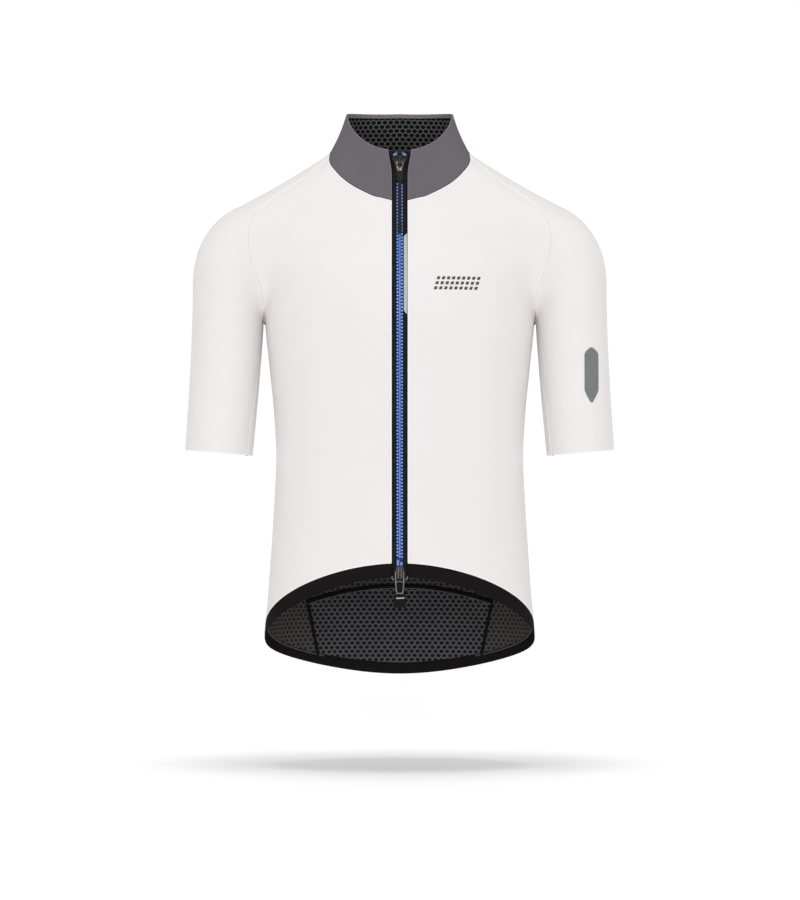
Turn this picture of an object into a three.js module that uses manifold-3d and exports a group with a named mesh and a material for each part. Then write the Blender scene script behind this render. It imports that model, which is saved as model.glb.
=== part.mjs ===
// A short-sleeved cycling jersey, filled out as it is worn, with nobody in it.
// Two fronts, a back, two raglan sleeves, a stand collar, hem bands, rear pockets and a two-way zip.
// Millimetres. +X is the wearer's left, -Y the front, +Z up. The origin is in the middle of the neck hole,
// level with the points where the shoulders meet the collar.
import * as THREE from "three";
import { mergeVertices } from "three/addons/utils/BufferGeometryUtils.js";
import Module from "manifold-3d";

// Cloth
const WALL = 1.5;
const SEAM_GAP = 0.3;

// Zip: two tapes behind the fronts' edges, a chain on them, and a slider with a pull at each end
const ZIP_EDGE = 10; // from the middle of the zip to the edge of each front
const TAPE = { half: 15, wall: 1, drop: 2.1, topZ: 2 }; // drop: how far its face lies inside the fronts' face
const TAPE_FLARE = { more: 9, fromZ: -8, toZ: 4 }; // the tapes part above the top slider
const CHAIN = { half: 4.3, out: 0.5, wall: 2.2, bottomZ: -527.6, topZ: -26.1 };
const RIBBON = { x: 7.4, half: 2.3, out: -0.6, wall: 1.2, bottomZ: -209.6, topZ: -105.5 };
const STOP = { x: 5.8, z: -2.6, long: 5.4, wide: 3, tilt: 26 };

// The sliders' plates, as half widths at heights from their middle. A bridge arches over each plate, and
// the pull's crossbar turns under it.
const TOP_SLIDER = {
  z: -15.4,
  plate: { from: -1.4, to: 3 },
  outline: [
    { y: -10.4, half: 3.9 },
    { y: -5, half: 4.9 },
    { y: 1.5, half: 6.8 },
    { y: 6, half: 9.3 },
    { y: 8.4, half: 9.7 },
    { y: 10.4, half: 8 },
  ],
  bridge: { half: 1.3, low: -3.6, high: 5.6, foot: 2, clear: 3, top: 1.3 },
  hingeY: 1,
};
const BOTTOM_SLIDER = {
  z: -536,
  plate: { from: -1.4, to: 2.6 },
  outline: [
    { y: -8, half: 4.2 },
    { y: -5, half: 5.2 },
    { y: 5, half: 5.2 },
    { y: 8, half: 4.4 },
  ],
  bridge: { half: 2, low: -7.6, high: 7.6, foot: 2, clear: 3, top: 1.2 },
  hingeY: 2,
};
const PULL_WALL = 1.6;
const TOP_PULL = {
  outline: [
    { y: -10.2, half: 2.9 },
    { y: -6, half: 3.7 },
    { y: 0, half: 5.1 },
    { y: 1.8, half: 5.1 },
  ],
  holes: [
    [
      { y: -6.6, half: 0.9 },
      { y: -3.8, half: 2.3 },
      { y: 0.2, half: 3.5 },
    ],
  ],
};
const BOTTOM_PULL = {
  outline: [
    { y: -26.9, half: 3.7 },
    { y: -25.3, half: 5.1 },
    { y: -11.3, half: 6.6 },
    { y: 1, half: 5.7 },
    { y: 2.8, half: 5.1 },
  ],
  holes: [
    [
      { y: -24.9, half: 3.1 },
      { y: -12.1, half: 4.6 },
    ],
    [
      { y: -10.5, half: 4.6 },
      { y: 1.2, half: 3.8 },
    ],
  ],
};
const WEBBING = { half: 7.7, loopHalf: 3, topY: -28, bottomY: -44.1, wall: 1, crossbarY: -11.3, tuckY: -22.5 };

// The soft puller on the top slider's pull lies along the zip, level by level: half width and how far
// its face stands out.
const PULLER = [
  { z: -107, half: 2, out: 3.2 },
  { z: -105, half: 2.7, out: 3.2 },
  { z: -96.5, half: 2.7, out: 3.2 },
  { z: -93.5, half: 2.1, out: 3.2 },
  { z: -52, half: 2.1, out: 3.3 },
  { z: -39, half: 2.1, out: 4.2 },
  { z: -37.4, half: 4.5, out: 4.3 },
  { z: -25.9, half: 4.5, out: 5.2 },
];
const PULLER_WALL = 2.4;

// The trunk, level by level: half width, and how far its front and back are from the middle.
const TRUNK = [
  { z: -720, side: 178, front: 114, back: 114 },
  { z: -620, side: 175.5, front: 114, back: 114 },
  { z: -570, side: 171.2, front: 113, back: 112 },
  { z: -520, side: 167.5, front: 111, back: 108 },
  { z: -450, side: 163, front: 109, back: 102 },
  { z: -390, side: 160.5, front: 109, back: 100 },
  { z: -330, side: 163.5, front: 113, back: 104 },
  { z: -270, side: 169.5, front: 119, back: 111 },
  { z: -208, side: 174.5, front: 121, back: 116 },
  { z: -150, side: 166, front: 113, back: 114 },
  { z: -100, side: 140, front: 96, back: 105 },
  { z: -60, side: 111, front: 79, back: 92 },
  { z: -20, side: 91, front: 68, back: 78 },
  { z: 20, side: 83, front: 62, back: 66 },
];
const TRUNK_POWER = 2.25; // over 2 gives a section a little squarer than an ellipse

// The middle line of the shoulder and sleeve, from the neck to below the cuff, and the half width in the
// front view and front to back there.
const ARM = [
  { x: 40, z: -20, y: 2, across: 46, deep: 56 },
  { x: 74, z: -41, y: 2, across: 47, deep: 60 },
  { x: 107, z: -64, y: 2, across: 49, deep: 62 },
  { x: 142, z: -85, y: 2, across: 49.3, deep: 61 },
  { x: 177, z: -104, y: 1, across: 49.3, deep: 60 },
  { x: 204, z: -120, y: 1, across: 50, deep: 58 },
  { x: 218.5, z: -146, y: 0, across: 49, deep: 57 },
  { x: 222, z: -190, y: -1, across: 47, deep: 56 },
  { x: 224.5, z: -245, y: -3, across: 46, deep: 54 },
  { x: 229, z: -315, y: -6, across: 45, deep: 52 },
  { x: 234.5, z: -385, y: -9, across: 44, deep: 50 },
  { x: 240, z: -450, y: -11, across: 43, deep: 48 },
];

// How softly the sleeve runs into the trunk, level by level: hard at the armpit, soft above it.
const JOIN = [
  { z: -214, reach: 3 },
  { z: -190, reach: 22 },
  { z: -160, reach: 50 },
  { z: -110, reach: 44 },
  { z: -60, reach: 24 },
  { z: 0, reach: 12 },
];
const ARMPIT = { x: 176.3, lowestZ: -230, highestZ: -185 };

// The raglan seam from the armpit to the collar, as it shows from the front, and on the back.
const FRONT_RAGLAN = [
  { x: 175, z: -190 },
  { x: 180, z: -168 },
  { x: 189, z: -140 },
  { x: 193.5, z: -112 },
  { x: 190, z: -88 },
  { x: 178, z: -68 },
  { x: 158, z: -52 },
  { x: 128, z: -33 },
];
const BACK_RAGLAN = [
  { x: 177, z: -188 },
  { x: 182, z: -165 },
  { x: 186, z: -138 },
  { x: 184, z: -112 },
  { x: 172, z: -88 },
  { x: 154, z: -66 },
  { x: 132, z: -46 },
  { x: 108, z: -25 },
];

// The collar seam and the collar's top edge. The angle runs from the front, past the side, to the back.
const NECKLINE = [
  { angle: 0, z: -62.5 },
  { angle: 25, z: -56.3 },
  { angle: 45, z: -39.8 },
  { angle: 62, z: -17 },
  { angle: 78, z: -1 },
  { angle: 92, z: 5 },
  { angle: 130, z: 11 },
  { angle: 180, z: 13 },
];
const FRONT_RAGLAN_NECK_ANGLE = 74;
const BACK_RAGLAN_NECK_ANGLE = 116;
const COLLAR_TOP = [
  { angle: 0, z: 4 },
  { angle: 15, z: 5 },
  { angle: 27, z: 9 },
  { angle: 43, z: 18.5 },
  { angle: 60, z: 32.5 },
  { angle: 78, z: 48.5 },
  { angle: 90, z: 54.5 },
  { angle: 120, z: 59 },
  { angle: 180, z: 62.5 },
];
const COLLAR_TOP_HALF = { side: 69.5, front: 61, back: 60 };
const COLLAR_HOLLOW = 1.8; // how far the collar dips in between its seam and its top edge
const COLLAR_FLARE = { more: 4.6, from: 0.55, to: 1.15 }; // the collar parts from the zip near its top

// The lower edge of the hem as waves round the trunk, highest in front, and the band's height above it.
const HEM = { middleZ: -616.6, once: 65.5, twice: 6.1, thrice: 3, side: 175, deep: 113 };
const BAND = { middle: 15, more: 2 };

// The rear pocket, on the outside of the back: one patch, sewn into three compartments open at the top
const POCKET = {
  topZ: -496,
  arch: 8,
  topHalf: 138,
  bottomHalf: 109,
  lift: 0.7,
  fullness: 2,
  compartments: 3,
};

// Where the sleeve's middle line ends, and how far the seam under the arm turns to the front on its way down
const CUFF = { x: 234.5, z: -385 };
const UNDERARM_LEAN = 0.55;

// How many steps each grid has
const STEPS = {
  frontAcross: 9,
  sideSeam: 9,
  raglan: 15,
  backAcross: 18,
  sleeveRound: 20,
  sleeveDown: 5,
  collarUp: 4,
  zipInCollar: 4,
  pocketAcross: 18,
  pocketUp: 5,
};

const COLOURS = {
  shell: { color: 0xefecea, roughness: 0.62, metalness: 0 },
  collar: { color: 0x6f6970, roughness: 0.8, metalness: 0 },
  band: { color: 0x1b1a1b, roughness: 0.75, metalness: 0 },
  tape: { color: 0x17171a, roughness: 0.8, metalness: 0 },
  chain: { color: 0x4f86d8, roughness: 0.4, metalness: 0 },
  slider: { color: 0x55514f, roughness: 0.35, metalness: 0.8 },
  puller: { color: 0x191919, roughness: 0.6, metalness: 0 },
  ribbon: { color: 0xb9bab8, roughness: 0.5, metalness: 0 },
};

const radians = THREE.MathUtils.degToRad;
const mix = THREE.MathUtils.lerp;
const point = (x, y, z) => new THREE.Vector3(x, y, z);
const range = (count) => Array.from({ length: count }, (_, i) => i);

// A column of a table as a smooth function of another column, flat past both ends.
function smoothColumn(rows, by, of) {
  const at = rows.map((row) => row[by]);
  const value = rows.map((row) => row[of]);
  const last = rows.length - 1;
  const slope = rows.map((_, i) => {
    const before = Math.max(i - 1, 0);
    const after = Math.min(i + 1, last);
    return (value[after] - value[before]) / (at[after] - at[before]);
  });
  return (x) => {
    if (x <= at[0]) return value[0];
    if (x >= at[last]) return value[last];
    let i = 0;
    while (x > at[i + 1]) i += 1;
    const width = at[i + 1] - at[i];
    const t = (x - at[i]) / width;
    const t2 = t * t;
    const t3 = t2 * t;
    return (
      (2 * t3 - 3 * t2 + 1) * value[i] +
      (t3 - 2 * t2 + t) * width * slope[i] +
      (3 * t2 - 2 * t3) * value[i + 1] +
      (t3 - t2) * width * slope[i + 1]
    );
  };
}

// The trunk's and the sleeve's form as fields: negative inside, zero on the cloth, in millimetres.
const trunkSide = smoothColumn(TRUNK, "z", "side");
const trunkFront = smoothColumn(TRUNK, "z", "front");
const trunkBack = smoothColumn(TRUNK, "z", "back");

function trunkField(p) {
  const deep = p.y < 0 ? trunkFront(p.z) : trunkBack(p.z);
  const across = Math.abs(p.x) / trunkSide(p.z);
  const along = Math.abs(p.y) / deep;
  const level = (across ** TRUNK_POWER + along ** TRUNK_POWER) ** (1 / TRUNK_POWER);
  return Math.hypot(p.x, p.y) * (1 - 1 / Math.max(level, 1e-6));
}

// The sleeve's middle line as a fine chain, each link with its place, its half widths and its direction.
const ARM_LINKS = 44;
const armRows = ARM.map((row, i) => ({ ...row, step: i }));
const armColumns = ["x", "z", "y", "across", "deep"].map((of) => smoothColumn(armRows, "step", of));
const armAt = (share) => {
  const [x, z, y, across, deep] = armColumns.map((column) => column(share * (ARM.length - 1)));
  return { x, z, y, across, deep, share };
};
const armChain = range(ARM_LINKS + 1).map((i) => armAt(i / ARM_LINKS));

// The place on the sleeve's middle line nearest to a point, seen from the front.
function nearestOnArm(x, z) {
  let best = { distance: Infinity };
  for (let i = 0; i < ARM_LINKS; i += 1) {
    const a = armChain[i];
    const b = armChain[i + 1];
    const alongX = b.x - a.x;
    const alongZ = b.z - a.z;
    const raw = ((x - a.x) * alongX + (z - a.z) * alongZ) / (alongX ** 2 + alongZ ** 2);
    const t = THREE.MathUtils.clamp(raw, 0, 1);
    const distance = Math.hypot(x - a.x - t * alongX, z - a.z - t * alongZ);
    if (distance < best.distance) best = { distance, a, b, t, share: mix(a.share, b.share, t) };
  }
  return best;
}

function armField(p) {
  const near = nearestOnArm(Math.abs(p.x), p.z);
  const offY = p.y - mix(near.a.y, near.b.y, near.t);
  const across = mix(near.a.across, near.b.across, near.t);
  const deep = mix(near.a.deep, near.b.deep, near.t);
  const level = Math.hypot(near.distance / across, offY / deep);
  return Math.hypot(near.distance, offY) * (1 - 1 / Math.max(level, 1e-6));
}

const joinReach = smoothColumn(JOIN, "z", "reach");

function jerseyField(p) {
  const trunk = trunkField(p);
  if (p.z < JOIN[0].z && Math.abs(p.x) < ARMPIT.x) return trunk;
  const arm = armField(p);
  const reach = joinReach(p.z);
  const near = Math.max(reach - Math.abs(trunk - arm), 0) / reach;
  return Math.min(trunk, arm) - (near * near * reach) / 4;
}

function normalAt(field, p) {
  const h = 0.5;
  const rise = (dx, dy, dz) =>
    field(point(p.x + dx, p.y + dy, p.z + dz)) - field(point(p.x - dx, p.y - dy, p.z - dz));
  return point(rise(h, 0, 0), rise(0, h, 0), rise(0, 0, h)).normalize();
}

// Where a line from a place inside first leaves the cloth's form.
function reachOut(field, from, direction, furthest) {
  const along = (d) => from.clone().addScaledVector(direction, d);
  const stride = 4;
  let inside = 0;
  while (inside < furthest && field(along(inside + stride)) < 0) inside += stride;
  let outside = inside + stride;
  for (let i = 0; i < 22; i += 1) {
    const middle = (inside + outside) / 2;
    if (field(along(middle)) < 0) inside = middle;
    else outside = middle;
  }
  return along(outside);
}

// A place on the trunk's skin, by its angle from the front and its height.
function roundTrunk(angle, z) {
  const turn = radians(angle);
  return reachOut(jerseyField, point(0, 0, z), point(Math.sin(turn), -Math.cos(turn), 0), 320);
}

// A place on the front (-1) or the back (1) by how it shows from the front.
function seenFromFront(x, z, side) {
  return reachOut(jerseyField, point(x, 0, z), point(0, side, 0), 200);
}

const angleOf = (p) => THREE.MathUtils.radToDeg(Math.atan2(p.x, -p.y));

const necklineZ = smoothColumn(NECKLINE, "angle", "z");
const onNeckline = (angle) => roundTrunk(angle, necklineZ(angle));

// The angle on a circle that was flattened to the hem's own width and depth.
const hemTurn = (angle) =>
  Math.atan2(Math.sin(radians(angle)) * HEM.deep, Math.cos(radians(angle)) * HEM.side);
const hemZ = (angle) => {
  const wave = (times) => Math.cos(times * hemTurn(angle));
  return HEM.middleZ + HEM.once * wave(1) + HEM.twice * wave(2) + HEM.thrice * wave(3);
};
const bandTop = (angle) => hemZ(angle) + BAND.middle + BAND.more * Math.cos(hemTurn(angle));

// The lowest place in the fork between sleeve and trunk.
function armpitPoint() {
  let out = ARMPIT.lowestZ;
  let inside = ARMPIT.highestZ;
  for (let i = 0; i < 30; i += 1) {
    const middle = (out + inside) / 2;
    if (jerseyField(point(ARMPIT.x, 0, middle)) < 0) inside = middle;
    else out = middle;
  }
  return point(ARMPIT.x, 0, inside);
}

const armpit = armpitPoint();

// A raglan seam's places on the cloth, from the armpit to the collar.
function raglanSeam(rows, side, neckAngle) {
  const between = rows.map((row) => seenFromFront(row.x, row.z, side));
  const through = [armpit, ...between, onNeckline(neckAngle)];
  const line = new THREE.CatmullRomCurve3(through, false, "centripetal").getSpacedPoints(STEPS.raglan);
  return line.map((p, i) => {
    if (i === 0 || i === STEPS.raglan) return p;
    return seenFromFront(p.x, p.z, side);
  });
}

const frontRaglan = raglanSeam(FRONT_RAGLAN, -1, FRONT_RAGLAN_NECK_ANGLE);
const backRaglan = raglanSeam(BACK_RAGLAN, 1, BACK_RAGLAN_NECK_ANGLE);

// Panels are grids of places, in rows from the bottom up, each row running round the body as x grows
// on the front and as it falls on the back.

// The part of a front or back from the hem band to the armpit, between an inner edge and the side seam.
function lowerPanel(innerAngle, columns) {
  return range(STEPS.sideSeam).map((j) =>
    range(columns + 1).map((i) => {
      const v = j / STEPS.sideSeam;
      const startZ = mix(bandTop(innerAngle(armpit.z)), armpit.z, v);
      const angle = mix(innerAngle(startZ), SIDE_ANGLE, i / columns);
      return roundTrunk(angle, mix(bandTop(angle), armpit.z, v));
    }),
  );
}

// The part from the armpit to the collar, between an inner edge and a raglan seam.
function upperPanel(armpitRow, neckRow, inner, raglan, side) {
  const columns = armpitRow.length - 1;
  const rows = raglan.length - 1;
  return range(rows + 1).map((j) =>
    range(columns + 1).map((i) => {
      if (j === 0) return armpitRow[i];
      if (j === rows) return neckRow[i];
      if (i === 0) return inner[j];
      if (i === columns) return raglan[j];
      const u = i / columns;
      const v = j / rows;
      const between = (pick) =>
        mix(pick(inner[j]), pick(raglan[j]), u) +
        mix(pick(armpitRow[i]), pick(neckRow[i]), v) -
        mix(mix(pick(armpitRow[0]), pick(armpitRow[columns]), u),
          mix(pick(neckRow[0]), pick(neckRow[columns]), u), v);
      return seenFromFront(between((p) => p.x), between((p) => p.z), side);
    }),
  );
}

const normalsOf = (field, grid) => grid.map((row) => row.map((p) => normalAt(field, p)));

// The normals of a grid from its own neighbours.
function gridNormals(grid) {
  const rows = grid.length - 1;
  const columns = grid[0].length - 1;
  return grid.map((row, j) =>
    row.map((_, i) => {
      const across = row[Math.min(i + 1, columns)].clone().sub(row[Math.max(i - 1, 0)]);
      const up = grid[Math.min(j + 1, rows)][i].clone().sub(grid[Math.max(j - 1, 0)][i]);
      return across.cross(up).normalize();
    }),
  );
}

// Draws a grid's rim in, by half a seam gap where its neighbour does the same.
function drawIn(grid, by = SEAM_GAP / 2) {
  const rows = grid.length - 1;
  const columns = grid[0].length - 1;
  const toward = (p, q) => p.clone().addScaledVector(q.clone().sub(p).normalize(), by);
  const sideways = grid.map((row) =>
    row.map((p, i) => {
      if (i === 0) return toward(p, row[1]);
      if (i === columns) return toward(p, row[columns - 1]);
      return p;
    }),
  );
  return sideways.map((row, j) =>
    row.map((p, i) => {
      if (j === 0) return toward(p, sideways[1][i]);
      if (j === rows) return toward(p, sideways[rows - 1][i]);
      return p;
    }),
  );
}

// The same grid on the wearer's other side, with its columns turned round so that it still faces out.
const mirrored = (grid) => grid.map((row) => row.map((p) => point(-p.x, p.y, p.z)).reverse());

// A closed wall over a grid of places: its outer skin is moved out by `out`, which may be a number or a
// grid of numbers, and it is `wall` thick.
function wallGeometry(grid, normals, out = 0, wall = WALL) {
  const rows = grid.length;
  const columns = grid[0].length;
  const outAt = (j, i) => (typeof out === "number" ? out : out[j][i]);
  const places = [];
  for (const depth of [0, wall]) {
    grid.forEach((row, j) =>
      row.forEach((p, i) => places.push(p.clone().addScaledVector(normals[j][i], outAt(j, i) - depth))),
    );
  }
  const inner = rows * columns;
  const at = (j, i) => j * columns + i;
  const index = [];
  const quad = (a, b, c, d) => index.push(a, b, c, a, c, d);
  for (let j = 0; j < rows - 1; j += 1) {
    for (let i = 0; i < columns - 1; i += 1) {
      const corners = [at(j, i), at(j, i + 1), at(j + 1, i + 1), at(j + 1, i)];
      const [p, q, r, s] = corners.map((k) => places[k]);
      const shorter = p.distanceTo(r) <= q.distanceTo(s) + 1e-3 ? 0 : 1;
      const [a, b, c, d] = range(4).map((k) => corners[(k + shorter) % 4]);
      quad(a, b, c, d);
      index.push(a + inner, c + inner, b + inner, a + inner, d + inner, c + inner);
    }
  }
  const rim = [
    ...range(columns - 1).map((i) => [at(0, i), at(0, i + 1)]),
    ...range(rows - 1).map((j) => [at(j, columns - 1), at(j + 1, columns - 1)]),
    ...range(columns - 1).map((i) => [at(rows - 1, columns - 1 - i), at(rows - 1, columns - 2 - i)]),
    ...range(rows - 1).map((j) => [at(rows - 1 - j, 0), at(rows - 2 - j, 0)]),
  ];
  rim.forEach(([a, b]) => quad(b, a, a + inner, b + inner));
  const geometry = new THREE.BufferGeometry().setFromPoints(places);
  geometry.setIndex(index);
  geometry.computeVertexNormals();
  return geometry;
}

function piece(name, geometry, look) {
  const mesh = new THREE.Mesh(geometry, new THREE.MeshStandardMaterial(COLOURS[look]));
  mesh.name = name;
  return mesh;
}

// A piece of cloth on the wearer's left and its mirror image on the right.
function clothPair(name, grid, normals, look, out, wall) {
  return [
    piece(`${name}_left`, wallGeometry(grid, normals, out, wall), look),
    piece(`${name}_right`, wallGeometry(mirrored(grid), mirrored(normals), out, wall), look),
  ];
}

// Fronts

const SIDE_ANGLE = 90;
const zipAngle = (z) => angleOf(seenFromFront(ZIP_EDGE, z, -1));
const frontNeckAngles = range(STEPS.frontAcross + 1).map((i) =>
  mix(zipAngle(necklineZ(0)), FRONT_RAGLAN_NECK_ANGLE, i / STEPS.frontAcross),
);
const frontNeck = frontNeckAngles.map(onNeckline);

function frontGrid() {
  const lower = lowerPanel(zipAngle, STEPS.frontAcross);
  const armpitRow = range(STEPS.frontAcross + 1).map((i) =>
    roundTrunk(mix(zipAngle(armpit.z), SIDE_ANGLE, i / STEPS.frontAcross), armpit.z),
  );
  armpitRow[STEPS.frontAcross] = armpit;
  const zipEdge = range(STEPS.raglan + 1).map((j) =>
    seenFromFront(ZIP_EDGE, mix(armpit.z, frontNeck[0].z, j / STEPS.raglan), -1),
  );
  return [...lower, ...upperPanel(armpitRow, frontNeck, zipEdge, frontRaglan, -1)];
}

// Back

const BACK_ANGLE = 180;
const backHalfSteps = STEPS.backAcross / 2;
const backNeck = range(backHalfSteps + 1).map((i) =>
  onNeckline(mix(BACK_ANGLE, BACK_RAGLAN_NECK_ANGLE, i / backHalfSteps)),
);

// The back's half on the wearer's left, from the middle of the back to the side.
function backHalf() {
  const lower = lowerPanel(() => BACK_ANGLE, backHalfSteps);
  const armpitRow = range(backHalfSteps + 1).map((i) =>
    roundTrunk(mix(BACK_ANGLE, SIDE_ANGLE, i / backHalfSteps), armpit.z),
  );
  armpitRow[backHalfSteps] = armpit;
  const middle = range(STEPS.raglan + 1).map((j) =>
    roundTrunk(BACK_ANGLE, mix(armpit.z, necklineZ(BACK_ANGLE), j / STEPS.raglan)),
  );
  return [...lower, ...upperPanel(armpitRow, backNeck, middle, backRaglan, 1)];
}

function backGrid() {
  const half = backHalf();
  return half.map((row) => {
    const otherHalf = row.slice(1).map((p) => point(-p.x, p.y, p.z));
    return [...row.slice().reverse(), ...otherHalf];
  });
}

// Sleeves

// A place's share along the sleeve's middle line and its angle round it: 0 faces out, a quarter turn back.
function roundArm(p) {
  const near = nearestOnArm(p.x, p.z);
  const along = point(near.b.x - near.a.x, 0, near.b.z - near.a.z).normalize();
  const offX = p.x - mix(near.a.x, near.b.x, near.t);
  const offZ = p.z - mix(near.a.z, near.b.z, near.t);
  const offY = p.y - mix(near.a.y, near.b.y, near.t);
  return { share: near.share, turn: Math.atan2(offY, offZ * along.x - offX * along.z) };
}

const armpitShare = roundArm(armpit).share;
const cuffShare = nearestOnArm(CUFF.x, CUFF.z).share;

// The place on the sleeve's skin at a share along its middle line and an angle round it.
function sleevePlace(share, turn) {
  const at = armAt(share);
  const ahead = armAt(Math.min(share + 0.01, 1));
  const before = armAt(Math.max(share - 0.01, 0));
  const along = point(ahead.x - before.x, 0, ahead.z - before.z).normalize();
  const outward = point(-along.z, 0, along.x);
  const direction = outward.multiplyScalar(Math.cos(turn)).add(point(0, Math.sin(turn), 0));
  const field = share > armpitShare ? armField : jerseyField;
  return reachOut(field, point(at.x, at.y, at.z), direction, 140);
}

// The sleeve's front and back edges: they meet in the seam under the arm, and part at the armpit.
function sleeveEdges() {
  const below = range(STEPS.sleeveDown).map((j) => {
    const down = 1 - j / STEPS.sleeveDown;
    const share = mix(armpitShare, cuffShare, down);
    const lean = UNDERARM_LEAN * THREE.MathUtils.smoothstep(down, 0, 0.8);
    const place = sleevePlace(share, -Math.PI + lean);
    return { share, lean, place };
  });
  const edge = (raglan, side) => [
    ...below.map(({ share, lean, place }) => ({ share, turn: side * Math.PI + lean, place })),
    ...raglan.map((place, k) => {
      const around = roundArm(place);
      return { share: around.share, turn: k === 0 ? side * Math.PI : around.turn, place };
    }),
  ];
  return { frontEdge: edge(frontRaglan, -1), backEdge: edge(backRaglan, 1) };
}

const sleeveNeck = range(STEPS.sleeveRound + 1).map((i) =>
  onNeckline(mix(FRONT_RAGLAN_NECK_ANGLE, BACK_RAGLAN_NECK_ANGLE, i / STEPS.sleeveRound)),
);

function sleeveGrid() {
  const { frontEdge, backEdge } = sleeveEdges();
  const rows = frontEdge.length - 1;
  const neckShares = sleeveNeck.map(roundArm);
  return frontEdge.map((first, j) =>
    range(STEPS.sleeveRound + 1).map((i) => {
      const last = backEdge[j];
      if (i === 0) return first.place;
      if (i === STEPS.sleeveRound) return last.place;
      if (j === rows) return sleeveNeck[i];
      const u = i / STEPS.sleeveRound;
      const up = THREE.MathUtils.smoothstep(j / rows, 0.45, 1);
      const bow = neckShares[i].share - mix(frontEdge[rows].share, backEdge[rows].share, u);
      const turnBow = neckShares[i].turn - mix(frontEdge[rows].turn, backEdge[rows].turn, u);
      const share = mix(first.share, last.share, u) + bow * up;
      return sleevePlace(share, mix(first.turn, last.turn, u) + turnBow * up);
    }),
  );
}

const sleeveNormals = (grid) =>
  grid.map((row, j) => row.map((p) => normalAt(j < STEPS.sleeveDown ? armField : jerseyField, p)));

// Collar

const collarTopZ = smoothColumn(COLLAR_TOP, "angle", "z");

// A place on the collar, from its seam at 0 to its top edge at 1.
function collarPlace(angle, up) {
  const turn = radians(angle);
  const deep = angle < SIDE_ANGLE ? COLLAR_TOP_HALF.front : COLLAR_TOP_HALF.back;
  const top = point(COLLAR_TOP_HALF.side * Math.sin(turn), -deep * Math.cos(turn), collarTopZ(angle));
  const place = onNeckline(angle).lerp(top, up);
  const inward = point(-Math.sin(turn), Math.cos(turn), 0);
  return place.addScaledVector(inward, COLLAR_HOLLOW * 4 * up * (1 - up));
}

// The collar's place a given way from the middle, part of the way up.
function collarAcross(x, up) {
  let low = 0;
  let high = 40;
  for (let i = 0; i < 16; i += 1) {
    const middle = (low + high) / 2;
    if (collarPlace(middle, up).x < x) low = middle;
    else high = middle;
  }
  return { angle: high, place: collarPlace(high, up) };
}

// How far the collar's front edge is from the middle of the zip, part of the way up.
const collarEdge = (up) =>
  ZIP_EDGE + COLLAR_FLARE.more * THREE.MathUtils.smoothstep(up, COLLAR_FLARE.from, COLLAR_FLARE.to);

// The collar's half on the wearer's left, from the zip to the middle of the back.
function collarHalf() {
  const feet = [...frontNeck, ...sleeveNeck.slice(1), ...backNeck.slice(0, -1).reverse()];
  const angles = feet.map(angleOf);
  return range(STEPS.collarUp + 1).map((j) => {
    const up = j / STEPS.collarUp;
    const start = collarAcross(collarEdge(up), up).angle;
    return feet.map((foot, i) => {
      if (j === 0) return foot;
      const late = Math.max(1 - i / STEPS.frontAcross, 0);
      return collarPlace(angles[i] + (start - angles[0]) * late, up);
    });
  });
}

function collarGrid() {
  return collarHalf().map((row) => {
    const otherHalf = row.slice(0, -1).map((p) => point(-p.x, p.y, p.z));
    return [...row, ...otherHalf.reverse()];
  });
}

// Hem bands

// The band below a panel's lowest row.
function bandGrid(panel) {
  const angles = panel[0].map(angleOf);
  const lower = angles.map((angle) => roundTrunk(angle, hemZ(Math.abs(angle))));
  return [lower, panel[0]];
}

// Rear pocket

function pocketGrid() {
  const rows = STEPS.pocketUp;
  const columns = STEPS.pocketAcross;
  const halfAt = (v) => mix(POCKET.bottomHalf, POCKET.topHalf, v);
  return range(rows + 1).map((j) =>
    range(columns + 1).map((i) => {
      const v = j / rows;
      const across = 1 - (2 * i) / columns;
      const arch = POCKET.arch * (1 - across ** 2) * v;
      const z = mix(bandTop(BACK_ANGLE - Math.abs(across) * 40), POCKET.topZ + arch, v);
      const x = halfAt(v) * across;
      const place = seenFromFront(Math.abs(x), z, 1);
      return point(Math.sign(across) * place.x, place.y, place.z);
    }),
  );
}

// How far the pocket's skin stands off the back: least along its seams, most in each compartment's mouth.
function pocketOut() {
  return range(STEPS.pocketUp + 1).map((j) =>
    range(STEPS.pocketAcross + 1).map((i) => {
      const belly = Math.abs(Math.sin((Math.PI * POCKET.compartments * i) / STEPS.pocketAcross));
      const opening = Math.sqrt(j / STEPS.pocketUp);
      return WALL + POCKET.lift + POCKET.fullness * belly * opening;
    }),
  );
}

// Zip

const neckZ = necklineZ(0);

// Levels up the zip, at the heights of the fronts' and the collar's own rows.
const zipLevels = [
  hemZ(0) + SEAM_GAP,
  ...range(STEPS.sideSeam).map((j) => mix(bandTop(0), armpit.z, j / STEPS.sideSeam)),
  ...range(STEPS.raglan).map((j) => mix(armpit.z, neckZ, j / STEPS.raglan)),
  ...range(STEPS.zipInCollar + 1).map((i) => mix(neckZ, TAPE.topZ, i / STEPS.zipInCollar)),
];

// How far up the collar a height is, at the zip.
const collarShare = (z) => (z - neckZ) / (collarTopZ(0) - neckZ);

// The garment's front a given way from the middle of the zip, at a height.
function zipPlace(x, z) {
  const way = Math.max(Math.abs(x), 0.01);
  const place = z < neckZ ? seenFromFront(way, z, -1) : collarAcross(way, collarShare(z)).place;
  return point(Math.sign(x) * place.x, place.y, place.z);
}

// A strip along the zip between two ways from its middle, which may change with the height.
function zipStrip(levels, from, to) {
  return levels.map((z) => range(3).map((i) => zipPlace(mix(from(z), to(z), i / 2), z)));
}

// Levels from one height to another, with the zip's own levels between them.
function levelsBetween(bottomZ, topZ, more = []) {
  const within = zipLevels.filter((z) => z > bottomZ + 2 && z < topZ - 2);
  return [bottomZ, ...within, topZ, ...more].sort((a, b) => a - b);
}

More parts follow.
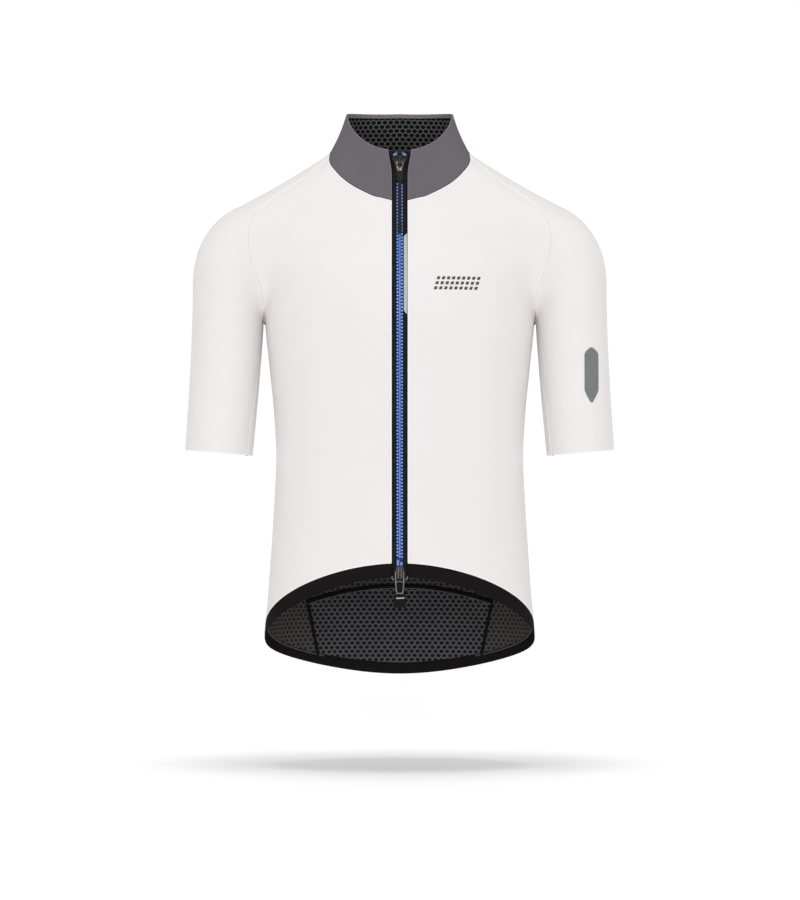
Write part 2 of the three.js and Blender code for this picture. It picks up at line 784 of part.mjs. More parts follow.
// The zip's frame at a height: its middle, with x across, y up along the zip and z straight out.
function zipFrame(z) {
  const middle = zipPlace(0.02, z).setX(0);
  const up = zipPlace(0.02, z + 2).setX(0).sub(middle).normalize();
  const across = point(1, 0, 0);
  return new THREE.Matrix4().makeBasis(across, up, across.clone().cross(up)).setPosition(middle);
}

function zipTape() {
  const inner = (z) =>
    SEAM_GAP / 2 + TAPE_FLARE.more * THREE.MathUtils.smoothstep(z, TAPE_FLARE.fromZ, TAPE_FLARE.toZ);
  const outer = (z) => collarEdge(collarShare(z)) + TAPE.half - ZIP_EDGE;
  return zipStrip(zipLevels, inner, outer);
}

function zipChain() {
  return zipStrip(levelsBetween(CHAIN.bottomZ, CHAIN.topZ), () => -CHAIN.half, () => CHAIN.half);
}

// The pale ribbon on the left tape, with rounded ends.
function ribbonStrip() {
  const rounding = [0, 0.3, 0.7].map((share) => share * RIBBON.half);
  const ends = rounding.flatMap((inset) => [RIBBON.bottomZ + inset, RIBBON.topZ - inset]);
  const levels = levelsBetween(RIBBON.bottomZ, RIBBON.topZ, ends.slice(2));
  const reach = (z) => {
    const inset = Math.min(z - RIBBON.bottomZ, RIBBON.topZ - z, RIBBON.half);
    return RIBBON.half * Math.sqrt(1 - 0.75 * (1 - inset / RIBBON.half) ** 2);
  };
  return zipStrip(levels, (z) => RIBBON.x - reach(z), (z) => RIBBON.x + reach(z));
}

const pullerHalf = smoothColumn(PULLER, "z", "half");
const pullerOut = smoothColumn(PULLER, "z", "out");

function topPuller() {
  const rows = PULLER.slice(1, -1).map((row) => row.z);
  const levels = levelsBetween(PULLER[0].z, PULLER[PULLER.length - 1].z, rows);
  const strip = zipStrip(levels, (z) => -pullerHalf(z), pullerHalf);
  const out = levels.map((z) => range(3).map(() => pullerOut(z)));
  return wallGeometry(strip, gridNormals(strip), out, PULLER_WALL);
}

// Hard pieces, each in the frame of the zip where it sits

const wasm = await Module();
wasm.setup();

function solidOf(geometry) {
  const bare = geometry.clone();
  bare.deleteAttribute("normal");
  bare.deleteAttribute("uv");
  const merged = mergeVertices(bare);
  const mesh = { numProp: 3, vertProperties: merged.attributes.position.array, triVerts: merged.index.array };
  return new wasm.Manifold(new wasm.Mesh(mesh));
}

function joined(first, second) {
  const mesh = solidOf(first).add(solidOf(second)).getMesh();
  const geometry = new THREE.BufferGeometry();
  geometry.setAttribute("position", new THREE.BufferAttribute(mesh.vertProperties, mesh.numProp));
  geometry.setIndex(new THREE.BufferAttribute(mesh.triVerts, 1));
  geometry.computeVertexNormals();
  return geometry;
}

// An outline from half widths at heights, the same on both sides.
function symmetric(rows) {
  const right = rows.map(({ half, y }) => new THREE.Vector2(half, y));
  const left = rows.map(({ half, y }) => new THREE.Vector2(-half, y)).reverse();
  return [...right, ...left];
}

// A flat plate that stands from one height above the zip to another.
function plate(rows, holes, from, to) {
  const shape = new THREE.Shape(symmetric(rows));
  holes.forEach((hole) => shape.holes.push(new THREE.Path(symmetric(hole))));
  return new THREE.ExtrudeGeometry(shape, { depth: to - from, bevelEnabled: false }).translate(0, 0, from);
}

// A bar whose section in y and z is an outline, with one hole or none, and which is `half` wide each way.
function crossPiece(outline, hole, half) {
  const shape = new THREE.Shape(outline.map(([y, z]) => new THREE.Vector2(y, z)));
  if (hole) shape.holes.push(new THREE.Path(hole.map(([y, z]) => new THREE.Vector2(y, z))));
  const turned = new THREE.Matrix4().makeBasis(point(0, 1, 0), point(0, 0, 1), point(1, 0, 0));
  const bar = new THREE.ExtrudeGeometry(shape, { depth: 2 * half, bevelEnabled: false });
  return bar.translate(0, 0, -half).applyMatrix4(turned);
}

const hingeHeight = ({ plate: { to }, bridge }) => to + bridge.clear / 2;

function sliderBody(slider) {
  const { bridge } = slider;
  const { from, to } = slider.plate;
  const under = to + bridge.clear;
  const over = under + bridge.top;
  const arch = [
    [bridge.low, to - 1],
    [bridge.high, to - 1],
    [bridge.high, under],
    [bridge.high - bridge.top, over],
    [bridge.low + bridge.top, over],
    [bridge.low, under],
  ];
  const opening = [
    [bridge.low + bridge.foot, to],
    [bridge.high - bridge.foot, to],
    [bridge.high - bridge.foot, under],
    [bridge.low + bridge.foot, under],
  ];
  return joined(plate(slider.outline, [], from, to), crossPiece(arch, opening, bridge.half));
}

function pullPlate(pull, slider) {
  const middle = hingeHeight(slider);
  return plate(pull.outline, pull.holes, middle - PULL_WALL / 2, middle + PULL_WALL / 2);
}

// The webbing on the bottom pull: a loop round its crossbar, and a broad end below the frame.
function webbingTab() {
  const middle = hingeHeight(BOTTOM_SLIDER);
  const inside = PULL_WALL / 2 + SEAM_GAP;
  const outside = inside + WEBBING.wall;
  const top = WEBBING.crossbarY + inside;
  const turn = WEBBING.wall * 0.4;
  const loop = [
    [WEBBING.topY - 4, middle - outside],
    [top + turn, middle - outside],
    [top + WEBBING.wall, middle - inside - turn],
    [top + WEBBING.wall, middle + inside + turn],
    [top + turn, middle + outside],
    [WEBBING.tuckY, middle + outside],
    [WEBBING.tuckY - turn, middle - inside - 0.1],
    [WEBBING.topY - 4, middle - inside - 0.1],
  ];
  const bar = [
    [WEBBING.tuckY + WEBBING.wall, middle - inside],
    [top, middle - inside],
    [top, middle + inside],
    [WEBBING.tuckY + WEBBING.wall, middle + inside],
  ];
  const broad = [
    { y: WEBBING.bottomY, half: WEBBING.half },
    { y: WEBBING.topY, half: WEBBING.half },
  ];
  const end = plate(broad, [], middle - outside, middle + PULL_WALL / 2);
  return joined(crossPiece(loop, bar, WEBBING.loopHalf), end);
}

function topStop(side) {
  const box = new THREE.BoxGeometry(STOP.long, STOP.wide, 2.6).rotateZ(-side * radians(STOP.tilt));
  return box.translate(side * STOP.x, 0, -0.3);
}

// Puts a hard piece at its height on the zip.
function onZip(name, geometry, look, z) {
  const mesh = piece(name, geometry, look);
  mesh.applyMatrix4(zipFrame(z));
  return mesh;
}

// The whole jersey

const front = frontGrid();
const back = backGrid();
const sleeve = sleeveGrid();
const collar = drawIn(collarGrid(), SEAM_GAP);
const frontBand = drawIn(bandGrid(front));
const backBand = drawIn(bandGrid(back));
const pocket = pocketGrid();
const tape = zipTape();
const chain = zipChain();
const ribbon = ribbonStrip();

const jersey = new THREE.Group();
jersey.name = "cycling_jersey";
jersey.add(
  ...clothPair("front", drawIn(front), normalsOf(jerseyField, front), "shell"),
  piece("back", wallGeometry(drawIn(back), normalsOf(jerseyField, back)), "shell"),
  ...clothPair("sleeve", drawIn(sleeve), sleeveNormals(sleeve), "shell"),
  piece("collar", wallGeometry(collar, gridNormals(collar)), "collar"),
  ...clothPair("hem_band_front", frontBand, normalsOf(jerseyField, frontBand), "band"),
  piece("hem_band_back", wallGeometry(backBand, normalsOf(jerseyField, backBand)), "band"),
  piece("rear_pocket", wallGeometry(pocket, normalsOf(jerseyField, pocket), pocketOut()), "shell"),
  ...clothPair("zip_tape", tape, gridNormals(tape), "tape", -TAPE.drop, TAPE.wall),
  piece("zip_chain", wallGeometry(chain, gridNormals(chain), CHAIN.out, CHAIN.wall), "chain"),
  piece("zip_ribbon", wallGeometry(ribbon, gridNormals(ribbon), RIBBON.out, RIBBON.wall), "ribbon"),
  piece("zip_top_puller", topPuller(), "puller"),
  onZip("zip_top_slider", sliderBody(TOP_SLIDER), "slider", TOP_SLIDER.z),
  onZip("zip_top_pull", pullPlate(TOP_PULL, TOP_SLIDER), "slider", TOP_SLIDER.z),
  onZip("zip_stop_left", topStop(1), "chain", STOP.z),
  onZip("zip_stop_right", topStop(-1), "chain", STOP.z),
  onZip("zip_bottom_slider", sliderBody(BOTTOM_SLIDER), "puller", BOTTOM_SLIDER.z),
  onZip("zip_bottom_pull", pullPlate(BOTTOM_PULL, BOTTOM_SLIDER), "slider", BOTTOM_SLIDER.z),
  onZip("zip_bottom_webbing", webbingTab(), "puller", BOTTOM_SLIDER.z),
);

export default jersey;
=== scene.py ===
"""A short-sleeved cycling jersey, filled out as it is worn, dressed for a studio photograph.

Sizes are in millimetres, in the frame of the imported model: +X is the wearer's left, -Y the front and
+Z up, with the origin in the middle of the neck hole.
"""
import logging
import math
from dataclasses import dataclass
from enum import Enum
from typing import Callable, Iterable, Sequence

import bmesh
import bpy
import numpy as np
from mathutils import Matrix, Vector


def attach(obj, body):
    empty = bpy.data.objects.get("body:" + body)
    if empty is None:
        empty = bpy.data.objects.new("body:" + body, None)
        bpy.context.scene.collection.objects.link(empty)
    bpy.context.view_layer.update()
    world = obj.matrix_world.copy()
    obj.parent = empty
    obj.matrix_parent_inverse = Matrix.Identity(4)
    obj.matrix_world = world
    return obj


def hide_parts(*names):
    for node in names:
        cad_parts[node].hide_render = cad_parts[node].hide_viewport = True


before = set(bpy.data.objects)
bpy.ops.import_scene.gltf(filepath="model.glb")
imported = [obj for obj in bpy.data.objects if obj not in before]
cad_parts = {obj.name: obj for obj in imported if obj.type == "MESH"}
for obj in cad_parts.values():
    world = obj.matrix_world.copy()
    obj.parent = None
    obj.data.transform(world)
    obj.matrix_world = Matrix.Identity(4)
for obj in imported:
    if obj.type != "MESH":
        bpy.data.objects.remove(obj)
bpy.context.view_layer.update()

log = logging.getLogger("jersey")

MM = 0.001
GARMENT = "garment"
UV_NAME = "cloth"
EDGE_NAME = "from_edge"

# Takes a place on the wearer's left to the one on the right
OTHER_SIDE = np.array([-1, 1, 1])

# How lines are followed out to the cloth: in strides, then by halving the last one
STRIDE = 5.0
HALVINGS = 13
FURTHEST = 320.0
FURTHEST_SEEN = 200.0
FURTHEST_IN_SLEEVE = 140.0
CURVE_STEPS = 40

# Cloth
WALL = 1.5
SIDE_ANGLE = 90.0
BACK_ANGLE = 180.0

# Zip
ZIP_EDGE = 10.0
TAPE_HALF = 15.0
TAPE_DROP = 2.1
TAPE_WALL = 1.0
TAPE_TOP = 2.0
TAPE_FLARE = 9.0
TAPE_FLARE_FROM = -8.0
TAPE_FLARE_TO = 4.0


class Side(Enum):
    """Which way a place faces, as the sign of its way out along Y."""

    FRONT = -1
    BACK = 1


def table(names: str, *rows: Sequence[float]) -> dict[str, np.ndarray]:
    """Names the columns of a short table of sizes.

    Args:
        names: The columns' names, with spaces between them.
        rows: The table's rows.

    Returns:
        Each column by its name.
    """
    columns = np.array(rows, float).T
    return dict(zip(names.split(), columns))


# The trunk, level by level: half width, and how far its front and back are from the middle
TRUNK = table(
    "z side front back",
    (-720, 178, 114, 114),
    (-620, 175.5, 114, 114),
    (-570, 171.2, 113, 112),
    (-520, 167.5, 111, 108),
    (-450, 163, 109, 102),
    (-390, 160.5, 109, 100),
    (-330, 163.5, 113, 104),
    (-270, 169.5, 119, 111),
    (-208, 174.5, 121, 116),
    (-150, 166, 113, 114),
    (-100, 140, 96, 105),
    (-60, 111, 79, 92),
    (-20, 91, 68, 78),
    (20, 83, 62, 66),
)
TRUNK_POWER = 2.25

# The middle line of the shoulder and sleeve, and the half width in the front view and front to back there
ARM = table(
    "x z y across deep",
    (40, -20, 2, 46, 56),
    (74, -41, 2, 47, 60),
    (107, -64, 2, 49, 62),
    (142, -85, 2, 49.3, 61),
    (177, -104, 1, 49.3, 60),
    (204, -120, 1, 50, 58),
    (218.5, -146, 0, 49, 57),
    (222, -190, -1, 47, 56),
    (224.5, -245, -3, 46, 54),
    (229, -315, -6, 45, 52),
    (234.5, -385, -9, 44, 50),
    (240, -450, -11, 43, 48),
)
ARM_LINKS = 44
ARM_NUDGE = 0.01

# How softly the sleeve runs into the trunk, level by level
JOIN = table("z reach", (-214, 3), (-190, 22), (-160, 50), (-110, 44), (-60, 24), (0, 12))
ARMPIT_X = 176.3
ARMPIT_LOWEST = -230.0
ARMPIT_HIGHEST = -185.0
ARMPIT_HALVINGS = 30

# The raglan seams as they show from the front, from the armpit towards the collar
FRONT_RAGLAN = table(
    "x z",
    (175, -190),
    (180, -168),
    (189, -140),
    (193.5, -112),
    (190, -88),
    (178, -68),
    (158, -52),
    (128, -33),
)
BACK_RAGLAN = table(
    "x z", (177, -188), (182, -165), (186, -138), (184, -112), (172, -88), (154, -66), (132, -46), (108, -25)
)
FRONT_RAGLAN_NECK_ANGLE = 74.0
BACK_RAGLAN_NECK_ANGLE = 116.0

# The collar's seam and top edge, by the angle from the front, past the side, to the back
NECKLINE = table(
    "angle z",
    (0, -63.4),
    (6, -62.5),
    (17, -58.6),
    (25, -55.7),
    (45, -39.8),
    (62, -16.2),
    (78, 1.6),
    (92, 6.6),
    (130, 11),
    (180, 13),
)
COLLAR_TOP = table(
    "angle z",
    (0, 4),
    (15, 5),
    (27, 9),
    (43, 18.5),
    (60, 32.5),
    (78, 48.5),
    (90, 55),
    (120, 59.5),
    (180, 62.2),
)
COLLAR_TOP_SIDE = 69.5
COLLAR_TOP_FRONT = 61.0
COLLAR_TOP_BACK = 60.0
COLLAR_HOLLOW = 1.8
COLLAR_FLARE = 5.6
COLLAR_FLARE_FROM = 0.5
COLLAR_FLARE_TO = 1.1
COLLAR_WIDEST_SEARCH = 40.0
COLLAR_HALVINGS = 16

# The hem's lower edge as waves round the trunk, and the band's height above it
HEM_MIDDLE = -617.9
HEM_WAVES = (64.5, 7.5, 4.5, -0.5)
HEM_SIDE = 175.0
HEM_DEEP = 113.0
BAND_MIDDLE = 17.0
BAND_WAVES = (3.5, -1.3, -1.7, 0.1)

# Where the sleeve ends, and how far the seam under the arm turns to the front on its way down
CUFF_X = 234.5
CUFF_Z = -385.0
UNDERARM_LEAN = 0.55


def lerp(first: np.ndarray, second: np.ndarray, share: np.ndarray) -> np.ndarray:
    """Goes from one value to another by a share."""
    return first + (second - first) * share


def smoothstep(value: np.ndarray, low: float, high: float) -> np.ndarray:
    """Rises softly from 0 at one value to 1 at another."""
    share = np.clip((np.asarray(value, float) - low) / (high - low), 0, 1)
    return share * share * (3 - 2 * share)


def unit(vectors: np.ndarray) -> np.ndarray:
    """Scales vectors to a length of one."""
    return vectors / np.maximum(np.linalg.norm(vectors, axis=-1, keepdims=True), 1e-9)


def spread(*values: np.ndarray) -> list[np.ndarray]:
    """Spreads values to one shape."""
    return np.broadcast_arrays(*(np.asarray(value, float) for value in values))


class SmoothColumn:
    """A column of a table as a smooth function of another, flat past both ends."""

    def __init__(self, rows: dict[str, np.ndarray], by: str, of: str) -> None:
        """Works out the slope at each row.

        Args:
            rows: The table.
            by: The column that the function takes.
            of: The column that it gives.
        """
        self.at = rows[by]
        self.value = rows[of]
        before = np.maximum(np.arange(len(self.at)) - 1, 0)
        after = np.minimum(np.arange(len(self.at)) + 1, len(self.at) - 1)
        self.slope = (self.value[after] - self.value[before]) / (self.at[after] - self.at[before])

    def __call__(self, x: np.ndarray) -> np.ndarray:
        """Reads the column between its rows."""
        x = np.clip(x, self.at[0], self.at[-1])
        i = np.clip(np.searchsorted(self.at, x, side="right") - 1, 0, len(self.at) - 2)
        width = self.at[i + 1] - self.at[i]
        t = (x - self.at[i]) / width
        t2, t3 = t**2, t**3
        start = (2 * t3 - 3 * t2 + 1) * self.value[i] + (t3 - 2 * t2 + t) * width * self.slope[i]
        end = (3 * t2 - 2 * t3) * self.value[i + 1] + (t3 - t2) * width * self.slope[i + 1]
        return start + end


Field = Callable[[np.ndarray], np.ndarray]


def normals_of(field: Field, places: np.ndarray) -> np.ndarray:
    """The way out of a field at places."""
    step = 0.5
    rises = [field(places + step * axis) - field(places - step * axis) for axis in np.eye(3)]
    return unit(np.stack(rises, axis=-1))


def reach_out(
    field: Field, start: np.ndarray, direction: np.ndarray, furthest: float = FURTHEST
) -> np.ndarray:
    """Finds where lines from places inside first leave a form.

    Args:
        field: The form, negative inside.
        start: Where each line starts.
        direction: Its direction, of length one.
        furthest: How far to look.

    Returns:
        A place on the form for each line.
    """
    shape = start.shape
    start = start.reshape(-1, 3)
    direction = direction.reshape(-1, 3)
    inside = np.zeros(len(start))
    active = np.arange(len(start))
    while len(active):
        ahead = inside[active] + STRIDE
        still = field(start[active] + ahead[:, None] * direction[active]) < 0
        active = active[still & (inside[active] < furthest)]
        inside[active] += STRIDE
    outside = inside + STRIDE
    for _ in range(HALVINGS):
        middle = (inside + outside) / 2
        within = field(start + middle[:, None] * direction) < 0
        inside = np.where(within, middle, inside)
        outside = np.where(within, outside, middle)
    return (start + outside[:, None] * direction).reshape(shape)


def places(x: np.ndarray, y: np.ndarray, z: np.ndarray) -> np.ndarray:
    """Stacks three coordinates, spread to one shape, into places."""
    return np.stack(spread(x, y, z), axis=-1)


def spaced_curve(points: np.ndarray, steps: int) -> np.ndarray:
    """A centripetal Catmull-Rom curve through points, at even distances.

    Args:
        points: The places it goes through.
        steps: How many parts it has.

    Returns:
        Its places, one more than the steps.
    """
    ends = [2 * points[0] - points[1], *points, 2 * points[-1] - points[-2]]
    fine = []
    for p0, p1, p2, p3 in zip(ends, ends[1:], ends[2:], ends[3:]):
        d0, d1, d2 = (math.sqrt(np.linalg.norm(b - a)) for a, b in ((p0, p1), (p1, p2), (p2, p3)))
        leave = ((p1 - p0) / d0 - (p2 - p0) / (d0 + d1) + (p2 - p1) / d1) * d1
        arrive = ((p2 - p1) / d1 - (p3 - p1) / (d1 + d2) + (p3 - p2) / d2) * d1
        t = np.linspace(0, 1, CURVE_STEPS + 1)[:, None]
        fine.append(
            (2 * t**3 - 3 * t**2 + 1) * p1
            + (t**3 - 2 * t**2 + t) * leave
            + (3 * t**2 - 2 * t**3) * p2
            + (t**3 - t**2) * arrive
        )
    line = np.vstack([part[:-1] for part in fine] + [points[-1:]])
    along = np.r_[0, np.cumsum(np.linalg.norm(np.diff(line, axis=0), axis=1))]
    wanted = np.linspace(0, along[-1], steps + 1)
    return np.stack([np.interp(wanted, along, line[:, axis]) for axis in range(3)], axis=-1)


class Form:
    """The filled-out jersey's form, as fields that are negative inside and zero on the cloth."""

    def __init__(self) -> None:
        """Reads the tables."""
        self.trunk_side = SmoothColumn(TRUNK, "z", "side")
        self.trunk_front = SmoothColumn(TRUNK, "z", "front")
        self.trunk_back = SmoothColumn(TRUNK, "z", "back")
        self.join = SmoothColumn(JOIN, "z", "reach")
        steps = np.arange(len(ARM["x"]), dtype=float)
        stepped = {**ARM, "step": steps}
        self.arm_columns = {of: SmoothColumn(stepped, "step", of) for of in ARM}
        self.chain_share = np.linspace(0, 1, ARM_LINKS + 1)
        self.chain = self.arm_at(self.chain_share)
        self.neck_z = SmoothColumn(NECKLINE, "angle", "z")
        self.collar_z = SmoothColumn(COLLAR_TOP, "angle", "z")
        self.armpit = self.find_armpit()
        self.armpit_share = float(self.round_arm(self.armpit[None])[0][0])
        cuff = self.nearest_on_arm(np.array([CUFF_X]), np.array([CUFF_Z]))
        self.cuff_share = float(cuff["share"][0])

    def arm_at(self, share: np.ndarray) -> dict[str, np.ndarray]:
        """The sleeve's middle line and half widths at shares of its length."""
        step = np.asarray(share) * (len(ARM["x"]) - 1)
        return {name: column(step) for name, column in self.arm_columns.items()}

    def nearest_on_arm(self, x: np.ndarray, z: np.ndarray) -> dict[str, np.ndarray]:
        """Finds the nearest place on the sleeve's middle line, seen from the front.

        Args:
            x: How far across each place is.
            z: Its height.

        Returns:
            The distance, the share of the line's length, its direction, and the line's own columns there.
        """
        line_x, line_z = self.chain["x"], self.chain["z"]
        along_x, along_z = np.diff(line_x), np.diff(line_z)
        off_x = x[:, None] - line_x[:-1]
        off_z = z[:, None] - line_z[:-1]
        t = np.clip((off_x * along_x + off_z * along_z) / (along_x**2 + along_z**2), 0, 1)
        distance = np.hypot(off_x - t * along_x, off_z - t * along_z)
        link = np.argmin(distance, axis=1)
        rows = np.arange(len(x))
        t = t[rows, link]
        found = {name: lerp(column[link], column[link + 1], t) for name, column in self.chain.items()}
        length = np.hypot(along_x, along_z)[link]
        found["share"] = lerp(self.chain_share[link], self.chain_share[link + 1], t)
        found["distance"] = distance[rows, link]
        found["along_x"] = along_x[link] / length
        found["along_z"] = along_z[link] / length
        return found

    def trunk_field(self, p: np.ndarray) -> np.ndarray:
        """The trunk alone."""
        x, y, z = p[..., 0], p[..., 1], p[..., 2]
        deep = np.where(y < 0, self.trunk_front(z), self.trunk_back(z))
        level = (np.abs(x) / self.trunk_side(z)) ** TRUNK_POWER + (np.abs(y) / deep) ** TRUNK_POWER
        return np.hypot(x, y) * (1 - 1 / np.maximum(level ** (1 / TRUNK_POWER), 1e-6))

    def arm_field(self, p: np.ndarray) -> np.ndarray:
        """The sleeve alone, the same on both sides."""
        flat = p.reshape(-1, 3)
        near = self.nearest_on_arm(np.abs(flat[:, 0]), flat[:, 2])
        off_y = flat[:, 1] - near["y"]
        level = np.hypot(near["distance"] / near["across"], off_y / near["deep"])
        value = np.hypot(near["distance"], off_y) * (1 - 1 / np.maximum(level, 1e-6))
        return value.reshape(p.shape[:-1])

    def field(self, p: np.ndarray) -> np.ndarray:
        """Trunk and sleeves run together."""
        value = self.trunk_field(p)
        upper = ~((p[..., 2] < JOIN["z"][0]) & (np.abs(p[..., 0]) < ARMPIT_X))
        if upper.any():
            trunk = value[upper]
            arm = self.arm_field(p[upper])
            reach = self.join(p[upper][..., 2])
            near = np.maximum(reach - np.abs(trunk - arm), 0) / reach
            value[upper] = np.minimum(trunk, arm) - near**2 * reach / 4
        return value

    def find_armpit(self) -> np.ndarray:
        """The lowest place in the fork between sleeve and trunk."""
        out, inside = ARMPIT_LOWEST, ARMPIT_HIGHEST
        for _ in range(ARMPIT_HALVINGS):
            middle = (out + inside) / 2
            if self.field(np.array([[ARMPIT_X, 0, middle]]))[0] < 0:
                inside = middle
            else:
                out = middle
        return np.array([ARMPIT_X, 0, inside])

    def round_trunk(self, angle: np.ndarray, z: np.ndarray) -> np.ndarray:
        """Places on the skin by the angle from the front and the height."""
        turn, z = spread(np.radians(angle), z)
        start = places(0 * turn, 0 * turn, z)
        return reach_out(self.field, start, places(np.sin(turn), -np.cos(turn), 0 * turn))

    def seen(self, x: np.ndarray, z: np.ndarray, side: Side) -> np.ndarray:
        """Places on the front or the back by how they show from the front."""
        x, z = spread(x, z)
        start = places(np.abs(x), 0 * x, z)
        place = reach_out(self.field, start, places(0 * x, side.value + 0 * x, 0 * x), FURTHEST_SEEN)
        place[..., 0] *= np.where(x < 0, -1, 1)
        return place

    def on_neckline(self, angle: np.ndarray) -> np.ndarray:
        """Places on the collar's seam."""
        return self.round_trunk(angle, self.neck_z(angle))

    def hem_turn(self, angle: np.ndarray) -> np.ndarray:
        """The angle on a circle that was flattened to the hem's width and depth."""
        turn = np.radians(angle)
        return np.arctan2(np.sin(turn) * HEM_DEEP, np.cos(turn) * HEM_SIDE)

    def waves(self, angle: np.ndarray, heights: Sequence[float]) -> np.ndarray:
        """Waves round the hem, the first one once round, the second twice, and so on."""
        turn = self.hem_turn(angle)
        return sum(height * np.cos((k + 1) * turn) for k, height in enumerate(heights))

    def hem_z(self, angle: np.ndarray) -> np.ndarray:
        """The height of the hem's lower edge."""
        return HEM_MIDDLE + self.waves(angle, HEM_WAVES)

    def band_top(self, angle: np.ndarray) -> np.ndarray:
        """The height of the seam between shell and band."""
        return self.hem_z(angle) + BAND_MIDDLE + self.waves(angle, BAND_WAVES)

    def round_arm(self, p: np.ndarray) -> tuple[np.ndarray, np.ndarray]:
        """Places as shares along the sleeve's middle line and angles round it, 0 facing out."""
        near = self.nearest_on_arm(p[:, 0], p[:, 2])
        off_x, off_z, off_y = p[:, 0] - near["x"], p[:, 2] - near["z"], p[:, 1] - near["y"]
        return near["share"], np.arctan2(off_y, off_z * near["along_x"] - off_x * near["along_z"])

    def sleeve_place(self, share: np.ndarray, turn: np.ndarray) -> np.ndarray:
        """Places on the sleeve's skin by share along its middle line and angle round it."""
        share, turn = spread(share, turn)
        at = self.arm_at(share)
        ahead = self.arm_at(np.minimum(share + ARM_NUDGE, 1))
        before = self.arm_at(np.maximum(share - ARM_NUDGE, 0))
        along_x, along_z = ahead["x"] - before["x"], ahead["z"] - before["z"]
        length = np.hypot(along_x, along_z)
        direction = places(-along_z / length * np.cos(turn), np.sin(turn), along_x / length * np.cos(turn))
        start = places(at["x"], at["y"], at["z"])
        lower = share > self.armpit_share - 1e-6
        place = np.empty(start.shape)
        for mask, field in ((lower, self.arm_field), (~lower, self.field)):
            if mask.any():
                place[mask] = reach_out(field, start[mask], direction[mask], FURTHEST_IN_SLEEVE)
        return place

    def raglan_seam(
        self, rows: dict[str, np.ndarray], side: Side, neck_angle: float, steps: int
    ) -> np.ndarray:
        """A raglan seam's places, from the armpit to the collar.

        Args:
            rows: The seam as it shows from the front.
            side: Whether it is on the front or the back.
            neck_angle: Where it meets the collar.
            steps: How many parts it has.

        Returns:
            Its places.
        """
        between = self.seen(rows["x"], rows["z"], side)
        through = np.vstack([self.armpit, between, self.on_neckline(np.array([neck_angle]))])
        line = spaced_curve(through, steps)
        line[1:-1] = self.seen(line[1:-1, 0], line[1:-1, 2], side)
        return line

    def collar_place(self, angle: np.ndarray, up: np.ndarray) -> np.ndarray:
        """Places on the collar, from its seam at 0 to its top edge at 1."""
        angle, up = spread(angle, up)
        turn = np.radians(angle)
        deep = np.where(angle < SIDE_ANGLE, COLLAR_TOP_FRONT, COLLAR_TOP_BACK)
        top = places(COLLAR_TOP_SIDE * np.sin(turn), -deep * np.cos(turn), self.collar_z(angle))
        place = lerp(self.on_neckline(angle), top, up[..., None])
        inward = places(-np.sin(turn), np.cos(turn), 0 * turn)
        return place + inward * (COLLAR_HOLLOW * 4 * up * (1 - up))[..., None]

    def collar_across(self, x: np.ndarray, up: np.ndarray) -> tuple[np.ndarray, np.ndarray]:
        """The collar's angles and places a given way from the middle, part of the way up."""
        x, up = spread(x, up)
        low, high = np.zeros(x.shape), np.full(x.shape, COLLAR_WIDEST_SEARCH)
        for _ in range(COLLAR_HALVINGS):
            middle = (low + high) / 2
            short = self.collar_place(middle, up)[..., 0] < x
            low, high = np.where(short, middle, low), np.where(short, high, middle)
        return high, self.collar_place(high, up)

    def collar_edge(self, up: np.ndarray) -> np.ndarray:
        """How far the collar's front edge is from the middle of the zip."""
        return ZIP_EDGE + COLLAR_FLARE * smoothstep(up, COLLAR_FLARE_FROM, COLLAR_FLARE_TO)

    def collar_share(self, z: np.ndarray) -> np.ndarray:
        """How far up the collar a height is, at the zip."""
        foot, top = self.neck_z(0.0), self.collar_z(0.0)
        return (z - foot) / (top - foot)

    def zip_place(self, x: np.ndarray, z: np.ndarray) -> np.ndarray:
        """The garment's front a given way from the middle of the zip, at a height."""
        x, z = spread(x, z)
        way = np.maximum(np.abs(x), 0.01)
        place = np.empty(x.shape + (3,))
        low = z < self.neck_z(0.0)
        if low.any():
            place[low] = self.seen(way[low], z[low], Side.FRONT)
        if (~low).any():
            place[~low] = self.collar_across(way[~low], self.collar_share(z[~low]))[1]
        place[..., 0] *= np.where(x < 0, -1, 1)
        return place


# Soft creases, as they show from the front, on the side that they are on. The cloth is stretched smooth,
# so they are broad and shallow: where it drags from the armpit, over the waist and inside the elbow.
CREASES = table(
    "side x z to_x to_z wide deep",
    (-1, 166, -206, 118, -262, 8, 0.9),
    (-1, 158, -232, 122, -312, 11, 0.8),
    (-1, 172, -176, 132, -196, 9, 0.8),
    (-1, 148, -372, 108, -404, 12, 0.6),
    (-1, 154, -430, 96, -470, 15, 0.6),
    (-1, 60, -82, 88, -128, 12, 0.5),
    (-1, 214, -206, 238, -262, 9, 0.7),
    (-1, 246, -300, 214, -338, 8, 0.5),
    (1, 164, -204, 120, -250, 9, 1.1),
    (1, 160, -226, 110, -310, 13, 1.0),
    (1, 96, -348, 24, -372, 14, 1.2),
    (1, 118, -392, 40, -404, 12, 1.0),
    (1, 132, -440, 66, -446, 11, 0.8),
    (1, 214, -204, 240, -258, 9, 0.9),
    (1, 250, -296, 216, -334, 9, 0.7),
    (1, 70, -70, 44, -132, 14, 0.8),
)

# Each crease bows by a share of its length, fades out past its ends and towards the sides, and has a low
# ridge beside its trough. It is fainter on the wearer's right, where it is narrow above all.
CREASE_BOW = 0.09
CREASE_OVERRUN = 0.1
CREASE_FADE_SHIFT = 0.083
CREASE_FACING = (8, 30)
RIDGE_SHARE = 0.45
RIDGE_OFF = 1.7
FAINTER_SHARE = 0.72
FAINTER_BY_WIDTH = 0.02


